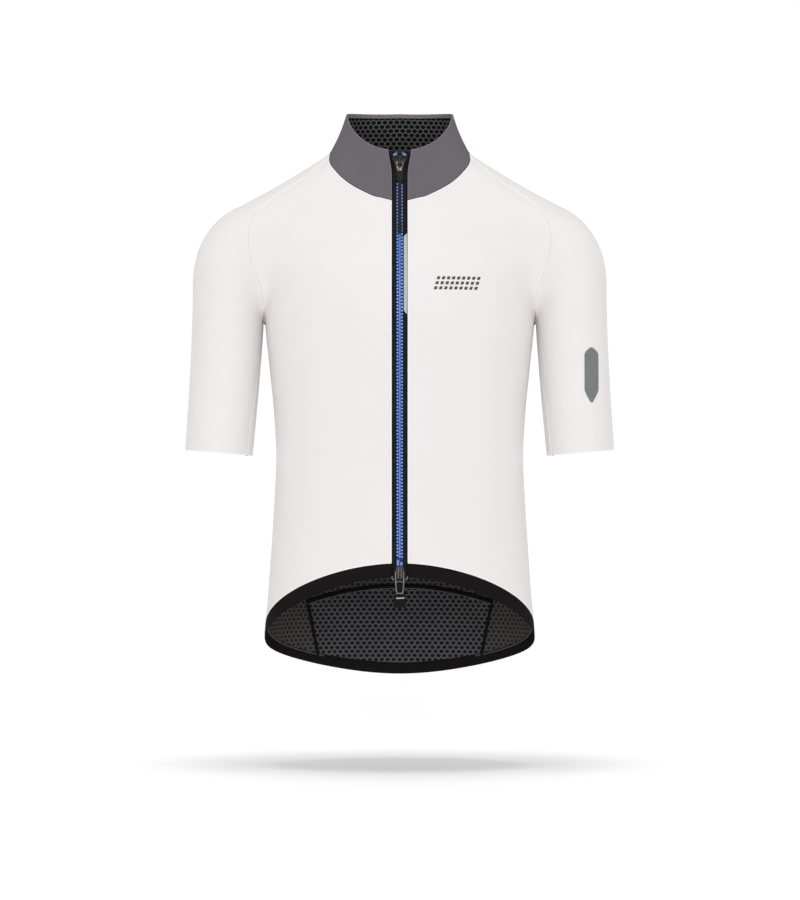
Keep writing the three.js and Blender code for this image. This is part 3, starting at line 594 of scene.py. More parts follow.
def crease(points: np.ndarray) -> np.ndarray:
    """How far in each place lies by the creases, the same on both sides of the wearer but for their strength.

    Args:
        points: Places on the cloth.

    Returns:
        A depth for each place.
    """
    depth = np.zeros(points.shape[:-1])
    across, height = np.abs(points[..., 0]), points[..., 2]
    for side, x, z, to_x, to_z, wide, deep in zip(*CREASES.values()):
        along = np.array([to_x - x, to_z - z])
        length = np.hypot(*along)
        share = ((across - x) * along[0] + (height - z) * along[1]) / length**2
        bow = CREASE_BOW * length * np.sin(np.pi * np.clip(share, 0, 1))
        off = ((across - x) * -along[1] + (height - z) * along[0]) / length - bow
        within = (share > -CREASE_OVERRUN) & (share < 1 + CREASE_OVERRUN)
        turn = np.pi * np.clip(share / (1 + 2 * CREASE_OVERRUN) + CREASE_FADE_SHIFT, 0, 1)
        fade = np.where(within, np.sin(turn), 0)
        uneven = np.where(points[..., 0] > 0, 1.0, FAINTER_SHARE + FAINTER_BY_WIDTH * wide)
        ridge = RIDGE_SHARE * np.exp(-(((off - RIDGE_OFF * wide) / wide) ** 2))
        trough = np.exp(-((off / wide) ** 2)) - ridge
        facing = smoothstep(points[..., 1] * side, *CREASE_FACING)
        depth += deep * uneven * fade**2 * trough * facing
    return depth


class Grid:
    """A patch of cloth as rows of places from the bottom up, with the way out at each."""

    def __init__(self, points: np.ndarray, normals: np.ndarray) -> None:
        """Keeps the places and the ways out, both in rows and columns."""
        self.points = points
        self.normals = normals

    @classmethod
    def own(cls, points: np.ndarray) -> "Grid":
        """A grid whose ways out come from its own neighbours."""
        across, up = np.gradient(points, axis=1), np.gradient(points, axis=0)
        return cls(points, unit(np.cross(across, up)))

    @classmethod
    def on(cls, form: Form, points: np.ndarray) -> "Grid":
        """A grid on the jersey's form, whose ways out are the form's."""
        return cls(points, normals_of(form.field, points))

    def mirrored(self) -> "Grid":
        """The same patch on the wearer's other side."""
        return Grid((self.points * OTHER_SIDE)[:, ::-1], (self.normals * OTHER_SIDE)[:, ::-1])

    def moved(self, out: np.ndarray) -> "Grid":
        """The patch moved out along its normals."""
        return Grid(self.points + self.normals * np.asarray(out)[..., None], self.normals)

    def creased(self) -> "Grid":
        """The patch with the creases pressed into it."""
        return self.moved(-crease(self.points))

    def with_rims(self, by: float = 1.1) -> "Grid":
        """The patch with one more row or column close to each edge, so that its edges stay crisp."""
        points, normals = self.points, self.normals
        for axis in (0, 1):
            for rim, beside, place in ((0, 1, 1), (-1, -2, -1)):
                edge, next_to = points.take(rim, axis), points.take(beside, axis)
                gap = np.maximum(np.linalg.norm(next_to - edge, axis=-1, keepdims=True), 1e-6)
                share = np.minimum(by / gap, 0.5)
                where = place if place > 0 else points.shape[axis] - 1
                bent = unit(lerp(normals.take(rim, axis), normals.take(beside, axis), share))
                points = np.insert(points, where, lerp(edge, next_to, share), axis)
                normals = np.insert(normals, where, bent, axis)
        return Grid(points, normals)

    def lengths(self, axis: int) -> np.ndarray:
        """The distance from the first place, along each row (1) or column (0)."""
        steps = np.linalg.norm(np.diff(self.points, axis=axis), axis=-1)
        start = np.zeros_like(steps.take([0], axis))
        return np.concatenate([start, np.cumsum(steps, axis=axis)], axis=axis)

    def cut(self) -> tuple[float, float, float]:
        """The width, length and area of the flat cut, in millimetres."""
        width, length = self.lengths(1)[:, -1].max(), self.lengths(0)[-1].max()
        p = self.points
        halves = [
            np.cross(p[:-1, 1:] - p[:-1, :-1], p[1:, 1:] - p[:-1, :-1]),
            np.cross(p[1:, 1:] - p[:-1, :-1], p[1:, :-1] - p[:-1, :-1]),
        ]
        area = sum(np.linalg.norm(half, axis=-1).sum() / 2 for half in halves)
        return width, length, area

    def rim_line(self, edge: str) -> "Seam":
        """One edge of the patch, as a seam: bottom, top, left or right."""
        axis, place = {"bottom": (0, 0), "top": (0, -1), "left": (1, 0), "right": (1, -1)}[edge]
        return Seam(self.points.take(place, axis), self.normals.take(place, axis))


@dataclass
class Seam:
    """A line on the cloth with the way out along it."""

    points: np.ndarray
    normals: np.ndarray

    def mirrored(self) -> "Seam":
        """The same line on the wearer's other side."""
        return Seam(self.points * OTHER_SIDE, self.normals * OTHER_SIDE)

    def moved(self, out: float) -> "Seam":
        """The line moved out along its normals."""
        return Seam(self.points + self.normals * out, self.normals)

    def sideways(self) -> np.ndarray:
        """The way across the line, along the cloth."""
        return unit(np.cross(self.normals, np.gradient(self.points, axis=0)))

    def spaced(self, pitch: float) -> "Seam":
        """The line at even distances."""
        along = np.r_[0, np.cumsum(np.linalg.norm(np.diff(self.points, axis=0), axis=1))]
        wanted = np.linspace(0, along[-1], max(int(along[-1] / pitch), 1) + 1)
        points = np.stack([np.interp(wanted, along, self.points[:, k]) for k in range(3)], axis=-1)
        normals = np.stack([np.interp(wanted, along, self.normals[:, k]) for k in range(3)], axis=-1)
        return Seam(points, unit(normals))

    def strip(self, half: float, columns: int = 3) -> Grid:
        """A strip of cloth along the line."""
        offsets = np.linspace(-half, half, columns)
        points = self.points[:, None] + self.sideways()[:, None] * offsets[None, :, None]
        normals = np.repeat(self.normals[:, None], columns, axis=1)
        return Grid(points, normals)


def srgb(red: float, green: float, blue: float) -> tuple[float, float, float, float]:
    """Turns a colour as it shows on a screen, 0 to 255, into the linear one that a shader takes."""

    def linear(value: float) -> float:
        """One channel."""
        share = value / 255
        return share / 12.92 if share <= 0.04045 else ((share + 0.055) / 1.055) ** 2.4

    return (linear(red), linear(green), linear(blue), 1.0)


class Value:
    """A shader socket that carries a number, with the arithmetic that adds Math nodes."""

    def __init__(self, graph: "Graph", socket: bpy.types.NodeSocket) -> None:
        """Wraps a socket of a graph."""
        self.graph = graph
        self.socket = socket

    def math(self, operation: str, *others: "Value | float") -> "Value":
        """Adds one Math node that takes this number first."""
        return self.graph.math(operation, self, *others)

    def __add__(self, other: "Value | float") -> "Value":
        return self.math("ADD", other)

    def __radd__(self, other: float) -> "Value":
        return self.graph.math("ADD", other, self)

    def __sub__(self, other: "Value | float") -> "Value":
        return self.math("SUBTRACT", other)

    def __rsub__(self, other: float) -> "Value":
        return self.graph.math("SUBTRACT", other, self)

    def __mul__(self, other: "Value | float") -> "Value":
        return self.math("MULTIPLY", other)

    def __rmul__(self, other: float) -> "Value":
        return self.graph.math("MULTIPLY", other, self)

    def __truediv__(self, other: "Value | float") -> "Value":
        return self.math("DIVIDE", other)

    def wrapped(self) -> "Value":
        """The distance to the nearest whole number."""
        return ((self + 0.5).math("FRACT") - 0.5).math("ABSOLUTE")

    def wave(self) -> "Value":
        """A sine that turns once for each 1, between 0 and 1."""
        return (self * math.tau).math("SINE") * 0.5 + 0.5

    def smooth(self, low: float, high: float) -> "Value":
        """Rises softly from 0 to 1 between two numbers."""
        settings = {"interpolation_type": "SMOOTHSTEP"}
        node = self.graph.node(
            "ShaderNodeMapRange", settings, {"Value": self, "From Min": low, "From Max": high}
        )
        return Value(self.graph, node.outputs["Result"])


class Graph:
    """The node tree of a material or a world, with one method that makes every node."""

    def __init__(self, owner: bpy.types.Material | bpy.types.World, output: str = "Material") -> None:
        """Starts a tree with nothing but its output."""
        self.owner = owner
        self.owner.use_nodes = True
        self.tree = self.owner.node_tree
        self.tree.nodes.clear()
        self.output = self.node("ShaderNodeOutput" + output, {}, {})

    @classmethod
    def of_material(cls, name: str) -> "Graph":
        """Starts a new material."""
        return cls(bpy.data.materials.new(name))

    def node(self, kind: str, settings: dict, inputs: dict) -> bpy.types.Node:
        """Makes a node.

        Args:
            kind: Its type.
            settings: Its properties, and a ramp's stops under the name stops.
            inputs: A number, colour or link for each socket, by name or place.

        Returns:
            The node.
        """
        made = self.tree.nodes.new(kind)
        for key, value in settings.items():
            if key == "stops":
                ramp = made.color_ramp.elements
                while len(ramp) < len(value):
                    ramp.new(0.5)
                for stop, (place, colour) in zip(ramp, value):
                    stop.position = place
                    stop.color = colour
            else:
                setattr(made, key, value)
        for key, value in inputs.items():
            source = value.socket if isinstance(value, Value) else value
            if isinstance(source, bpy.types.NodeSocket):
                self.tree.links.new(source, made.inputs[key])
            else:
                made.inputs[key].default_value = source
        return made

    def math(self, operation: str, *terms: "Value | float") -> Value:
        """Adds a Math node."""
        node = self.node("ShaderNodeMath", {"operation": operation}, dict(enumerate(terms)))
        return Value(self, node.outputs[0])

    def mix(self, share: "Value | float", first: object, second: object) -> bpy.types.NodeSocket:
        """Mixes two colours."""
        node = self.node("ShaderNodeMix", {"data_type": "RGBA"}, {0: share, 6: first, 7: second})
        return node.outputs[2]

    def parts(self, source: bpy.types.NodeSocket) -> list[Value]:
        """The three numbers of a vector."""
        apart = self.node("ShaderNodeSeparateXYZ", {}, {0: source})
        return [Value(self, socket) for socket in apart.outputs]

    def on_map(self, name: str) -> tuple[Value, Value]:
        """Both numbers of a piece's map, in millimetres."""
        across, up, _ = self.parts(self.node("ShaderNodeUVMap", {"uv_map": name}, {}).outputs[0])
        return across * 1000, up * 1000

    def on_cloth(self) -> tuple[Value, Value]:
        """Across and up on a piece's own map."""
        return self.on_map(UV_NAME)

    def rim(self, wide: float) -> Value:
        """1 in a band along a piece's edges and 0 inside."""
        beside, along = self.on_map(EDGE_NAME)
        return 1 - beside.math("MINIMUM", along).smooth(wide * 0.55, wide * 1.2)

    def in_space(self) -> bpy.types.NodeSocket:
        """The object's own coordinates."""
        return self.node("ShaderNodeTexCoord", {}, {}).outputs["Object"]

    def noise(self, size: float, detail: float = 3.0) -> Value:
        """Soft noise whose spots are about a size across, in millimetres."""
        inputs = {"Vector": self.in_space(), "Scale": 1 / (size * MM), "Detail": detail}
        return Value(self, self.node("ShaderNodeTexNoise", {}, inputs).outputs[0])

    def bump(self, height: Value, depth: float, under: object = None) -> bpy.types.NodeSocket:
        """A bump of a depth in millimetres."""
        inputs = {"Height": height, "Distance": depth * MM, "Strength": 1.0}
        if under is not None:
            inputs["Normal"] = under
        return self.node("ShaderNodeBump", {}, inputs).outputs[0]

    def finish(self, inputs: dict) -> bpy.types.Material:
        """Ends the material in a Principled shader with these sockets."""
        shader = self.node("ShaderNodeBsdfPrincipled", {}, inputs)
        self.tree.links.new(shader.outputs[0], self.output.inputs[0])
        return self.owner


Colour = tuple[float, float, float, float]


def shade(colour: Colour, by: float) -> Colour:
    """A colour made darker or lighter by a factor."""
    return (colour[0] * by, colour[1] * by, colour[2] * by, 1.0)


@dataclass(frozen=True)
class Knit:
    """A smooth stretch knit: fine upright ribs, with the faintest unevenness, and a painted highlight along
    its edges.
    """

    name: str
    colour: Colour
    rib: float = 0.8
    depth: float = 0.05
    roughness: float = 0.72
    sheen: float = 0.12
    # Width of the painted highlight along the piece's edges, in millimetres.
    painted_highlight_width: float = 2.0

    def material(self) -> bpy.types.Material:
        """Builds the finish."""
        graph = Graph.of_material(self.name)
        across, up = graph.on_cloth()
        ribs = (across / self.rib).wave()
        loops = (up / (self.rib * 0.75) + (across / self.rib).math("FLOOR") * 0.5).wave()
        cloud = graph.noise(38)
        grain = graph.noise(1.4, 2)
        tone = cloud * 0.5 + ribs * 0.25 + grain * 0.25
        plain = graph.mix(tone, shade(self.colour, 0.965), shade(self.colour, 1.02))
        return graph.finish(
            {
                # Lighter along the edges: a painted highlight, as where an edge catches the light.
                "Base Color": graph.mix(graph.rim(self.painted_highlight_width), plain, shade(self.colour, 1.1)),
                "Roughness": self.roughness + (grain - 0.5) * 0.12,
                "Specular IOR Level": 0.25,
                "Sheen Weight": self.sheen,
                "Sheen Roughness": 0.5,
                "Normal": graph.bump(ribs * 0.6 + loops * 0.4, self.depth),
            }
        )


@dataclass(frozen=True)
class Honeycomb:
    """The open side of a two-faced knit: dark dimples, six round each one, in a net of pale ridges; their
    darkness is painted shade in the recesses.
    """

    name: str
    ridge: Colour
    # The dimples' colour, dark as painted shade in the recesses.
    shaded_hollow: Colour
    across: float = 8.0
    up: float = 5.6
    foot: float = 0.6
    top: float = 0.95
    depth: float = 0.9

    def material(self) -> bpy.types.Material:
        """Builds the finish."""
        graph = Graph.of_material(self.name)
        across, up = graph.on_cloth()
        tall = self.up / 2 / math.sqrt(0.75)

        def rows(shift: float) -> Value:
            """How far a place is from the nearest dimple of every second row, squared."""
            x = (across / self.across + shift).wrapped() * 2
            y = (up / (2 * self.up) + shift).wrapped() * (2 * self.up / tall)
            return x * x + y * y

        distance = rows(0).math("MINIMUM", rows(0.5)).math("SQRT")
        ridge = distance.smooth(self.foot, self.top)
        grain = graph.noise(0.9, 2)
        uneven = graph.noise(22)
        worn = ridge * (0.55 + uneven * 0.5 + grain * 0.25)
        return graph.finish(
            {
                # Painted shade: the dimples take the dark colour, the ridges the pale one.
                "Base Color": graph.mix(worn, self.shaded_hollow, self.ridge),
                "Roughness": 0.92 - ridge * 0.12,
                "Specular IOR Level": 0.12,
                "Normal": graph.bump(ridge + grain * 0.12, self.depth),
            }
        )


@dataclass(frozen=True)
class Woven:
    """A close weave: threads over and under each other, with a heathered tone, and where it is set a painted
    highlight along its edges.
    """

    name: str
    colour: Colour
    pitch: float = 0.7
    depth: float = 0.06
    roughness: float = 0.85
    specular: float = 0.15
    heather: float = 0.2
    # Width of the painted highlight along the piece's edges, in millimetres; none if zero.
    painted_highlight_width: float = 0.0

    def material(self) -> bpy.types.Material:
        """Builds the finish."""
        graph = Graph.of_material(self.name)
        across, up = graph.on_cloth()
        warp, weft = (across / self.pitch).wave(), (up / self.pitch).wave()
        over = (across / (2 * self.pitch) + (up / self.pitch).math("FLOOR") * 0.5).wave()
        weave = warp * over + weft * (1 - over)
        grain = graph.noise(1.1, 2)
        cloud = graph.noise(16)
        tone = grain * 0.45 + cloud * 0.35 + weave * 0.2
        low, high = shade(self.colour, 1 - self.heather), shade(self.colour, 1 + self.heather)
        colour = graph.mix(tone, low, high)
        # Painted highlight: the colour turns lighter along the piece's edges.
        if self.painted_highlight_width:
            colour = graph.mix(graph.rim(self.painted_highlight_width), colour, shade(self.colour, 1.35))
        return graph.finish(
            {
                "Base Color": colour,
                "Roughness": self.roughness + (weave - 0.5) * 0.1,
                "Specular IOR Level": self.specular,
                "Normal": graph.bump(weave + grain * 0.3, self.depth),
            }
        )


@dataclass(frozen=True)
class Ribbed:
    """A pale ribbon with a smooth half and a half of fine slanting ribs."""

    name: str
    smooth_colour: Colour
    rib_colour: Colour
    split: float = 2.1
    pitch: float = 0.85

    def material(self) -> bpy.types.Material:
        """Builds the finish."""
        graph = Graph.of_material(self.name)
        across, up = graph.on_cloth()
        ribs = ((up + across * 0.8) / self.pitch).wave()
        ribbed = across.smooth(self.split - 0.2, self.split + 0.2)
        grain = graph.noise(1.0, 2)
        dull = graph.mix(ribs * 0.7 + grain * 0.3, shade(self.rib_colour, 0.62), self.rib_colour)
        return graph.finish(
            {
                "Base Color": graph.mix(ribbed, self.smooth_colour, dull),
                "Roughness": 0.5 + grain * 0.2,
                "Specular IOR Level": 0.3,
                "Normal": graph.bump(ribs * ribbed + grain * 0.15, 0.18),
            }
        )


@dataclass(frozen=True)
class Moulded:
    """Moulded plastic or rubber with a fine grain."""

    name: str
    colour: Colour
    roughness: float = 0.38
    specular: float = 0.4
    grain: float = 0.03

    def material(self) -> bpy.types.Material:
        """Builds the finish."""
        graph = Graph.of_material(self.name)
        cloud = graph.noise(6)
        grain = graph.noise(0.5, 2)
        return graph.finish(
            {
                "Base Color": graph.mix(cloud, shade(self.colour, 0.86), shade(self.colour, 1.14)),
                "Roughness": self.roughness + (cloud - 0.5) * 0.14,
                "Specular IOR Level": self.specular,
                "Normal": graph.bump(grain, self.grain),
            }
        )


@dataclass(frozen=True)
class Teeth:
    """Moulded teeth, glossier on their outer heads, which a painted highlight also makes paler than where
    they lock.
    """

    name: str
    inner: Colour
    heads: Colour
    highlight_from: float = 2.6
    roughness: float = 0.3

    def material(self) -> bpy.types.Material:
        """Builds the finish."""
        graph = Graph.of_material(self.name)
        across = graph.parts(graph.in_space())[0].math("ABSOLUTE") * 1000
        # Painted highlight: towards the outer ends the teeth turn to the paler colour, as if they caught the
        # light.
        head_highlight = across.smooth(self.highlight_from - 0.5, self.highlight_from + 0.4)
        cloud = graph.noise(1.2, 2)
        return graph.finish(
            {
                "Base Color": graph.mix(head_highlight * 0.85 + cloud * 0.2, self.inner, self.heads),
                "Roughness": self.roughness + (cloud - 0.5) * 0.12 - head_highlight * 0.06,
                "Specular IOR Level": 0.5,
                "Normal": graph.bump(cloud, 0.03),
            }
        )


@dataclass(frozen=True)
class Metal:
    """Cast metal with a thin dark finish that is rubbed paler in spots."""

    name: str
    colour: Colour
    rubbed: Colour
    metallic: float = 0.85
    roughness: float = 0.36

    def material(self) -> bpy.types.Material:
        """Builds the finish."""
        graph = Graph.of_material(self.name)
        spots = graph.noise(2.4, 4)
        grain = graph.noise(0.35, 2)
        return graph.finish(
            {
                "Base Color": graph.mix(spots.smooth(0.42, 0.68), self.colour, self.rubbed),
                "Metallic": self.metallic,
                "Roughness": self.roughness + (spots - 0.5) * 0.2,
                "Normal": graph.bump(grain + spots * 0.5, 0.03),
            }
        )


# The white knit, like the grey weave below, has a painted highlight along each piece's edges.
SHELL_OUTSIDE = Knit("white_knit", srgb(231, 228, 227))
# The shell's inside honeycomb is darker than the patch's, partly as painted shade for the shadow the front
# casts into the back.
SHELL_INSIDE = Honeycomb("dark_honeycomb", srgb(76, 74, 73), srgb(36, 35, 35), foot=0.42, top=0.9, depth=0.6)
PATCH_INSIDE = Honeycomb("patch_honeycomb", srgb(84, 83, 85), srgb(20, 20, 22), foot=0.46, top=0.94)
COLLAR_INSIDE = Honeycomb("collar_honeycomb", srgb(104, 106, 104), srgb(16, 16, 18), foot=0.62, top=0.98)
COLLAR_OUTSIDE = Woven("grey_weave", srgb(104, 98, 105), heather=0.14, painted_highlight_width=1.6)
COLLAR_FACING = Woven("pale_grey_weave", srgb(134, 127, 135), heather=0.16)
BAND_FINISH = Woven("black_elastic", srgb(24, 22, 22), pitch=1.1, heather=0.25, specular=0.04)
TAPE_FINISH = Woven("black_tape", srgb(25, 24, 27), pitch=0.9, heather=0.3, specular=0.06)
TAPE_CORD = Woven("brown_black_cord", srgb(50, 46, 47), pitch=0.6, heather=0.2, specular=0.08)
WEBBING_FINISH = Woven("black_webbing", srgb(24, 24, 25), pitch=0.8, depth=0.12, heather=0.25, specular=0.06)
RIBBON_FINISH = Ribbed("pale_ribbon", srgb(178, 181, 179), srgb(152, 153, 150))
TEETH_FINISH = Teeth("blue_teeth", srgb(72, 120, 202), srgb(134, 170, 228))
CORE_FINISH = Moulded("dark_blue_cord", srgb(20, 42, 92), roughness=0.6, specular=0.2)
STOP_FINISH = Moulded("pale_blue_stop", srgb(92, 128, 194), roughness=0.3, specular=0.5)
PULLER_FINISH = Moulded("black_rubber", srgb(30, 30, 29), roughness=0.6, specular=0.15)
SLIDER_FINISH = Metal("gunmetal", srgb(26, 23, 22), srgb(60, 54, 51), metallic=0.55)
PULL_FINISH = Metal("bright_gunmetal", srgb(84, 81, 78), srgb(146, 141, 136), metallic=0.6)
BLACK_SLIDER_FINISH = Metal("black_metal", srgb(22, 21, 22), srgb(52, 49, 49), metallic=0.3)
FRAME_FINISH = Metal("grey_metal", srgb(104, 103, 102), srgb(142, 141, 140), metallic=0.5)
WHITE_THREAD = Moulded("white_thread", srgb(232, 231, 230), roughness=0.7, specular=0.2)
GREY_THREAD = Moulded("grey_thread", srgb(92, 92, 94), roughness=0.75, specular=0.15)
SEAM_THREAD = Moulded("seam_thread", srgb(206, 203, 202), roughness=0.8, specular=0.1)
BLACK_THREAD = Moulded("black_thread", srgb(14, 14, 15), roughness=0.8, specular=0.1)
COLLAR_THREAD = Moulded("dark_grey_thread", srgb(58, 54, 58), roughness=0.8, specular=0.1)
TAPE_EDGE = Moulded("sealed_tape_edge", srgb(128, 127, 128), roughness=0.5, specular=0.3)
PALE_THREAD = Moulded("pale_thread", srgb(184, 183, 182), roughness=0.6, specular=0.25)
DARK_PRINT = Moulded("dark_print", srgb(78, 77, 80), roughness=0.5, specular=0.2)
GREY_PRINT = Moulded("grey_print", srgb(118, 120, 119), roughness=0.45, specular=0.25)

_made: dict[str, bpy.types.Material] = {}


def material_of(finish: object) -> bpy.types.Material:
    """A finish's material, built once."""
    if finish.name not in _made:
        _made[finish.name] = finish.material()
    return _made[finish.name]


def mesh_data(name: str, mesh: bmesh.types.BMesh) -> bpy.types.Mesh:
    """Turns a mesh in the making into mesh data."""
    data = bpy.data.meshes.new(name)
    mesh.to_mesh(data)
    mesh.free()
    return data


def placed(name: str, data: bpy.types.ID) -> bpy.types.Object:
    """Puts a new object with its data into the scene."""
    made = bpy.data.objects.new(name, data)
    bpy.context.scene.collection.objects.link(made)
    return made


@dataclass(frozen=True)
class Cord:
    """A thread or cord: how far out of the cloth it lies, the pitch of its rings, and its flatness."""

    radius: float
    out: float = 0.0
    pitch: float = 3.0
    flat: float = 1.0
    sides: int = 6


SEAM_BEAD = Cord(1.5, -WALL, pitch=6, flat=0.6)
HEM_BEAD = Cord(1.4, -WALL, pitch=5, flat=0.6)
COLLAR_BEAD = Cord(1.35, -1.3)
COLLAR_LINE = Cord(0.55, -0.15)
FACING_LINE = Cord(0.7, 0.05)
RAGLAN_LINE = Cord(0.42, -0.2)
TAPE_LINE = Cord(0.55, pitch=5, flat=0.6)


class Piece:
    """A mesh in the making: it gathers parts in millimetres and ends as one Blender object."""

    def __init__(self, name: str, *finishes: object) -> None:
        """Starts an empty piece.

        Args:
            name: The object's name.
            finishes: Its finishes. The first is the outside's, a second one the inside's.
        """
        self.name = name
        self.finishes = finishes
        self.mesh = bmesh.new()
        self.uv = self.mesh.loops.layers.uv.new(UV_NAME)
        self.edge = self.mesh.loops.layers.uv.new(EDGE_NAME)

    def patch(self, grid: Grid, finish: int = 0, upright: bool = False) -> None:
        """Adds a patch of cloth: a grid that is laid on its places.

        Args:
            grid: Where it lies.
            finish: Which of the piece's finishes it has.
            upright: Whether its map's height is the real height, so that a pattern's rows stay level.
        """
        rows, columns = grid.points.shape[:2]
        made = bmesh.ops.create_grid(self.mesh, x_segments=columns - 1, y_segments=rows - 1, size=1)
        across, along = grid.lengths(1), grid.lengths(0)
        beside = np.minimum(across, across[:, -1:] - across)
        inside = np.minimum(along, along[-1:] - along)
        across = across - across[:, columns // 2 : columns // 2 + 1]
        if upright:
            along = grid.points[..., 2]
        index = {}
        for vertex in made["verts"]:
            i = round((vertex.co.x + 1) / 2 * (columns - 1))
            j = round((vertex.co.y + 1) / 2 * (rows - 1))
            index[vertex] = (j, i)
        faces = {face for vertex in made["verts"] for face in vertex.link_faces}
        for vertex, (j, i) in index.items():
            vertex.co = grid.points[j, i]
        for face in faces:
            face.material_index = finish
            face.smooth = True
            for loop in face.loops:
                j, i = index[loop.vert]
                loop[self.uv].uv = (across[j, i] * MM, along[j, i] * MM)
                loop[self.edge].uv = (beside[j, i] * MM, inside[j, i] * MM)

    def tube(self, seam: Seam, radius: float, flat: float = 1.0, sides: int = 8, finish: int = 0) -> None:
        """Adds a round cord along a line, closed at both ends.

        Args:
            seam: The line, with the way out along it.
            radius: The cord's radius.
            flat: Its thickness as a share of its width.
            sides: How many sides it has.
            finish: Which of the piece's finishes it has.
        """
        turn = np.linspace(0, math.tau, sides + 1)
        ways = unit(np.gradient(seam.points, axis=0)) * radius * 0.5
        line = np.pad(seam.points, ((2, 2), (0, 0)), "edge")
        for row, back in ((0, 1.0), (1, 0.7)):
            line[row] -= ways[0] * back
            line[-1 - row] += ways[-1] * back
        across = np.pad(seam.sideways(), ((2, 2), (0, 0)), "edge")
        out = np.pad(seam.normals, ((2, 2), (0, 0)), "edge")
        taper = np.r_[0.05, 0.7, np.ones(len(seam.points)), 0.7, 0.05]
        wide, tall = np.cos(turn)[None, :, None], np.sin(turn)[None, :, None] * flat
        ring = wide * across[:, None] + tall * out[:, None]
        points = line[:, None] + ring * (radius * taper)[:, None, None]
        before = set(self.mesh.verts)
        self.patch(Grid(points[:, ::-1], points * 0), finish)
        made = [vertex for vertex in self.mesh.verts if vertex not in before]
        bmesh.ops.remove_doubles(self.mesh, verts=made, dist=1e-4)
        made = [vertex for vertex in self.mesh.verts if vertex not in before]
        edges = {edge for vertex in made for edge in vertex.link_edges if edge.is_boundary}
        bmesh.ops.holes_fill(self.mesh, edges=list(edges), sides=sides + 2)
        for face in {face for vertex in made for face in vertex.link_faces}:
            face.material_index = finish
            face.smooth = True

    def cord(self, line: Seam, kind: Cord, finish: int = 0) -> None:
        """Adds a kind of cord along a line on the cloth."""
        self.tube(line.spaced(kind.pitch).moved(kind.out), kind.radius, kind.flat, kind.sides, finish)

    def stitches(self, seam: Seam, pitch: float, long: float, radius: float, turned: bool = False) -> None:
        """Adds a row of stitches along a line.

        Args:
            seam: The line.
            pitch: From one stitch to the next.
            long: How long each one is.
            radius: The thread's radius.
            turned: Whether they lie across the line, as in a bar of close stitches.
        """
        even = seam.spaced(pitch)
        ways = unit(np.gradient(even.points, axis=0))
        for place, way, out in zip(even.points, ways, even.normals):
            across = np.cross(out, way)
            if turned:
                way, across = across, -way
            basis = Matrix(np.array([way, across, out]).T.tolist()).to_4x4()
            stretch = Matrix.Diagonal((long / 2 / radius, 1, 0.8, 1))
            where = Matrix.Translation(Vector(place)) @ basis @ stretch
            made = bmesh.ops.create_icosphere(self.mesh, subdivisions=1, radius=radius, matrix=where)
            for face in {face for vertex in made["verts"] for face in vertex.link_faces}:
                face.smooth = True

    def solid(self, outline: np.ndarray, low: float, high: float, chamfer: float, where: Matrix) -> None:
        """Adds a plate from an outline that runs anticlockwise, with its upper edge chamfered.

        Args:
            outline: Places across and up.
            low: The height of its underside.
            high: The height of its top.
            chamfer: How wide the chamfer is.
            where: The frame that it sits in.
        """
        vertices = [self.mesh.verts.new((x, y, low)) for x, y in outline]
        base = self.mesh.faces.new(vertices)
        pushed = bmesh.ops.extrude_face_region(self.mesh, geom=[base])["geom"]
        top = [item for item in pushed if isinstance(item, bmesh.types.BMVert)]
        cap = [item for item in pushed if isinstance(item, bmesh.types.BMFace)][0]
        bmesh.ops.translate(self.mesh, verts=top, vec=(0, 0, high - low))
        bmesh.ops.reverse_faces(self.mesh, faces=[base])
        rounded = bmesh.ops.inset_region(
            self.mesh, faces=[cap], thickness=chamfer, depth=0, use_even_offset=True
        )
        bmesh.ops.translate(self.mesh, verts=top, vec=(0, 0, -chamfer))
        every = set(vertices) | {v for face in rounded["faces"] for v in face.verts} | set(cap.verts)
        bmesh.ops.transform(self.mesh, matrix=where, verts=list(every))

    def copy_of(self, node: str, softened: float, finish: int = 0) -> None:
        """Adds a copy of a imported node's solid, with its corners rounded.

        Args:
            node: The node's name.
            softened: How wide the rounding is.
            finish: Which of the piece's finishes it has.
        """
        other = bmesh.new()
        other.from_mesh(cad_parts[node].data)
        bmesh.ops.scale(other, vec=(1 / MM, 1 / MM, 1 / MM), verts=other.verts)
        bmesh.ops.remove_doubles(other, verts=other.verts, dist=0.005)
        bmesh.ops.dissolve_limit(other, angle_limit=math.radians(2), verts=other.verts, edges=other.edges)
        sharp = [edge for edge in other.edges if edge.is_manifold and edge.calc_face_angle(0) > 0.5]
        bmesh.ops.bevel(
            other,
            geom=sharp,
            offset=softened,
            offset_type="OFFSET",
            segments=2,
            profile=0.5,
            affect="EDGES",
            material=-1,
            clamp_overlap=True,
        )
        for face in other.faces:
            face.material_index = finish
            face.smooth = True
        holder = mesh_data("holder", other)
        self.mesh.from_mesh(holder)
        bpy.data.meshes.remove(holder)

    def done(self, body: str = GARMENT, replaces: Iterable[str] = ()) -> bpy.types.Object:
        """Ends the piece.

        Args:
            body: The body that it rides on.
            replaces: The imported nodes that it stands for.

        Returns:
            The Blender object, at the origin.
        """
        bmesh.ops.scale(self.mesh, vec=(MM, MM, MM), verts=self.mesh.verts)
        data = mesh_data(self.name, self.mesh)
        for finish in self.finishes:
            data.materials.append(material_of(finish))
        made = placed(self.name, data)
        if replaces:
            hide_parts(*replaces)
        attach(made, body)
        log.info("%s: %d faces", self.name, len(data.polygons))
        return made


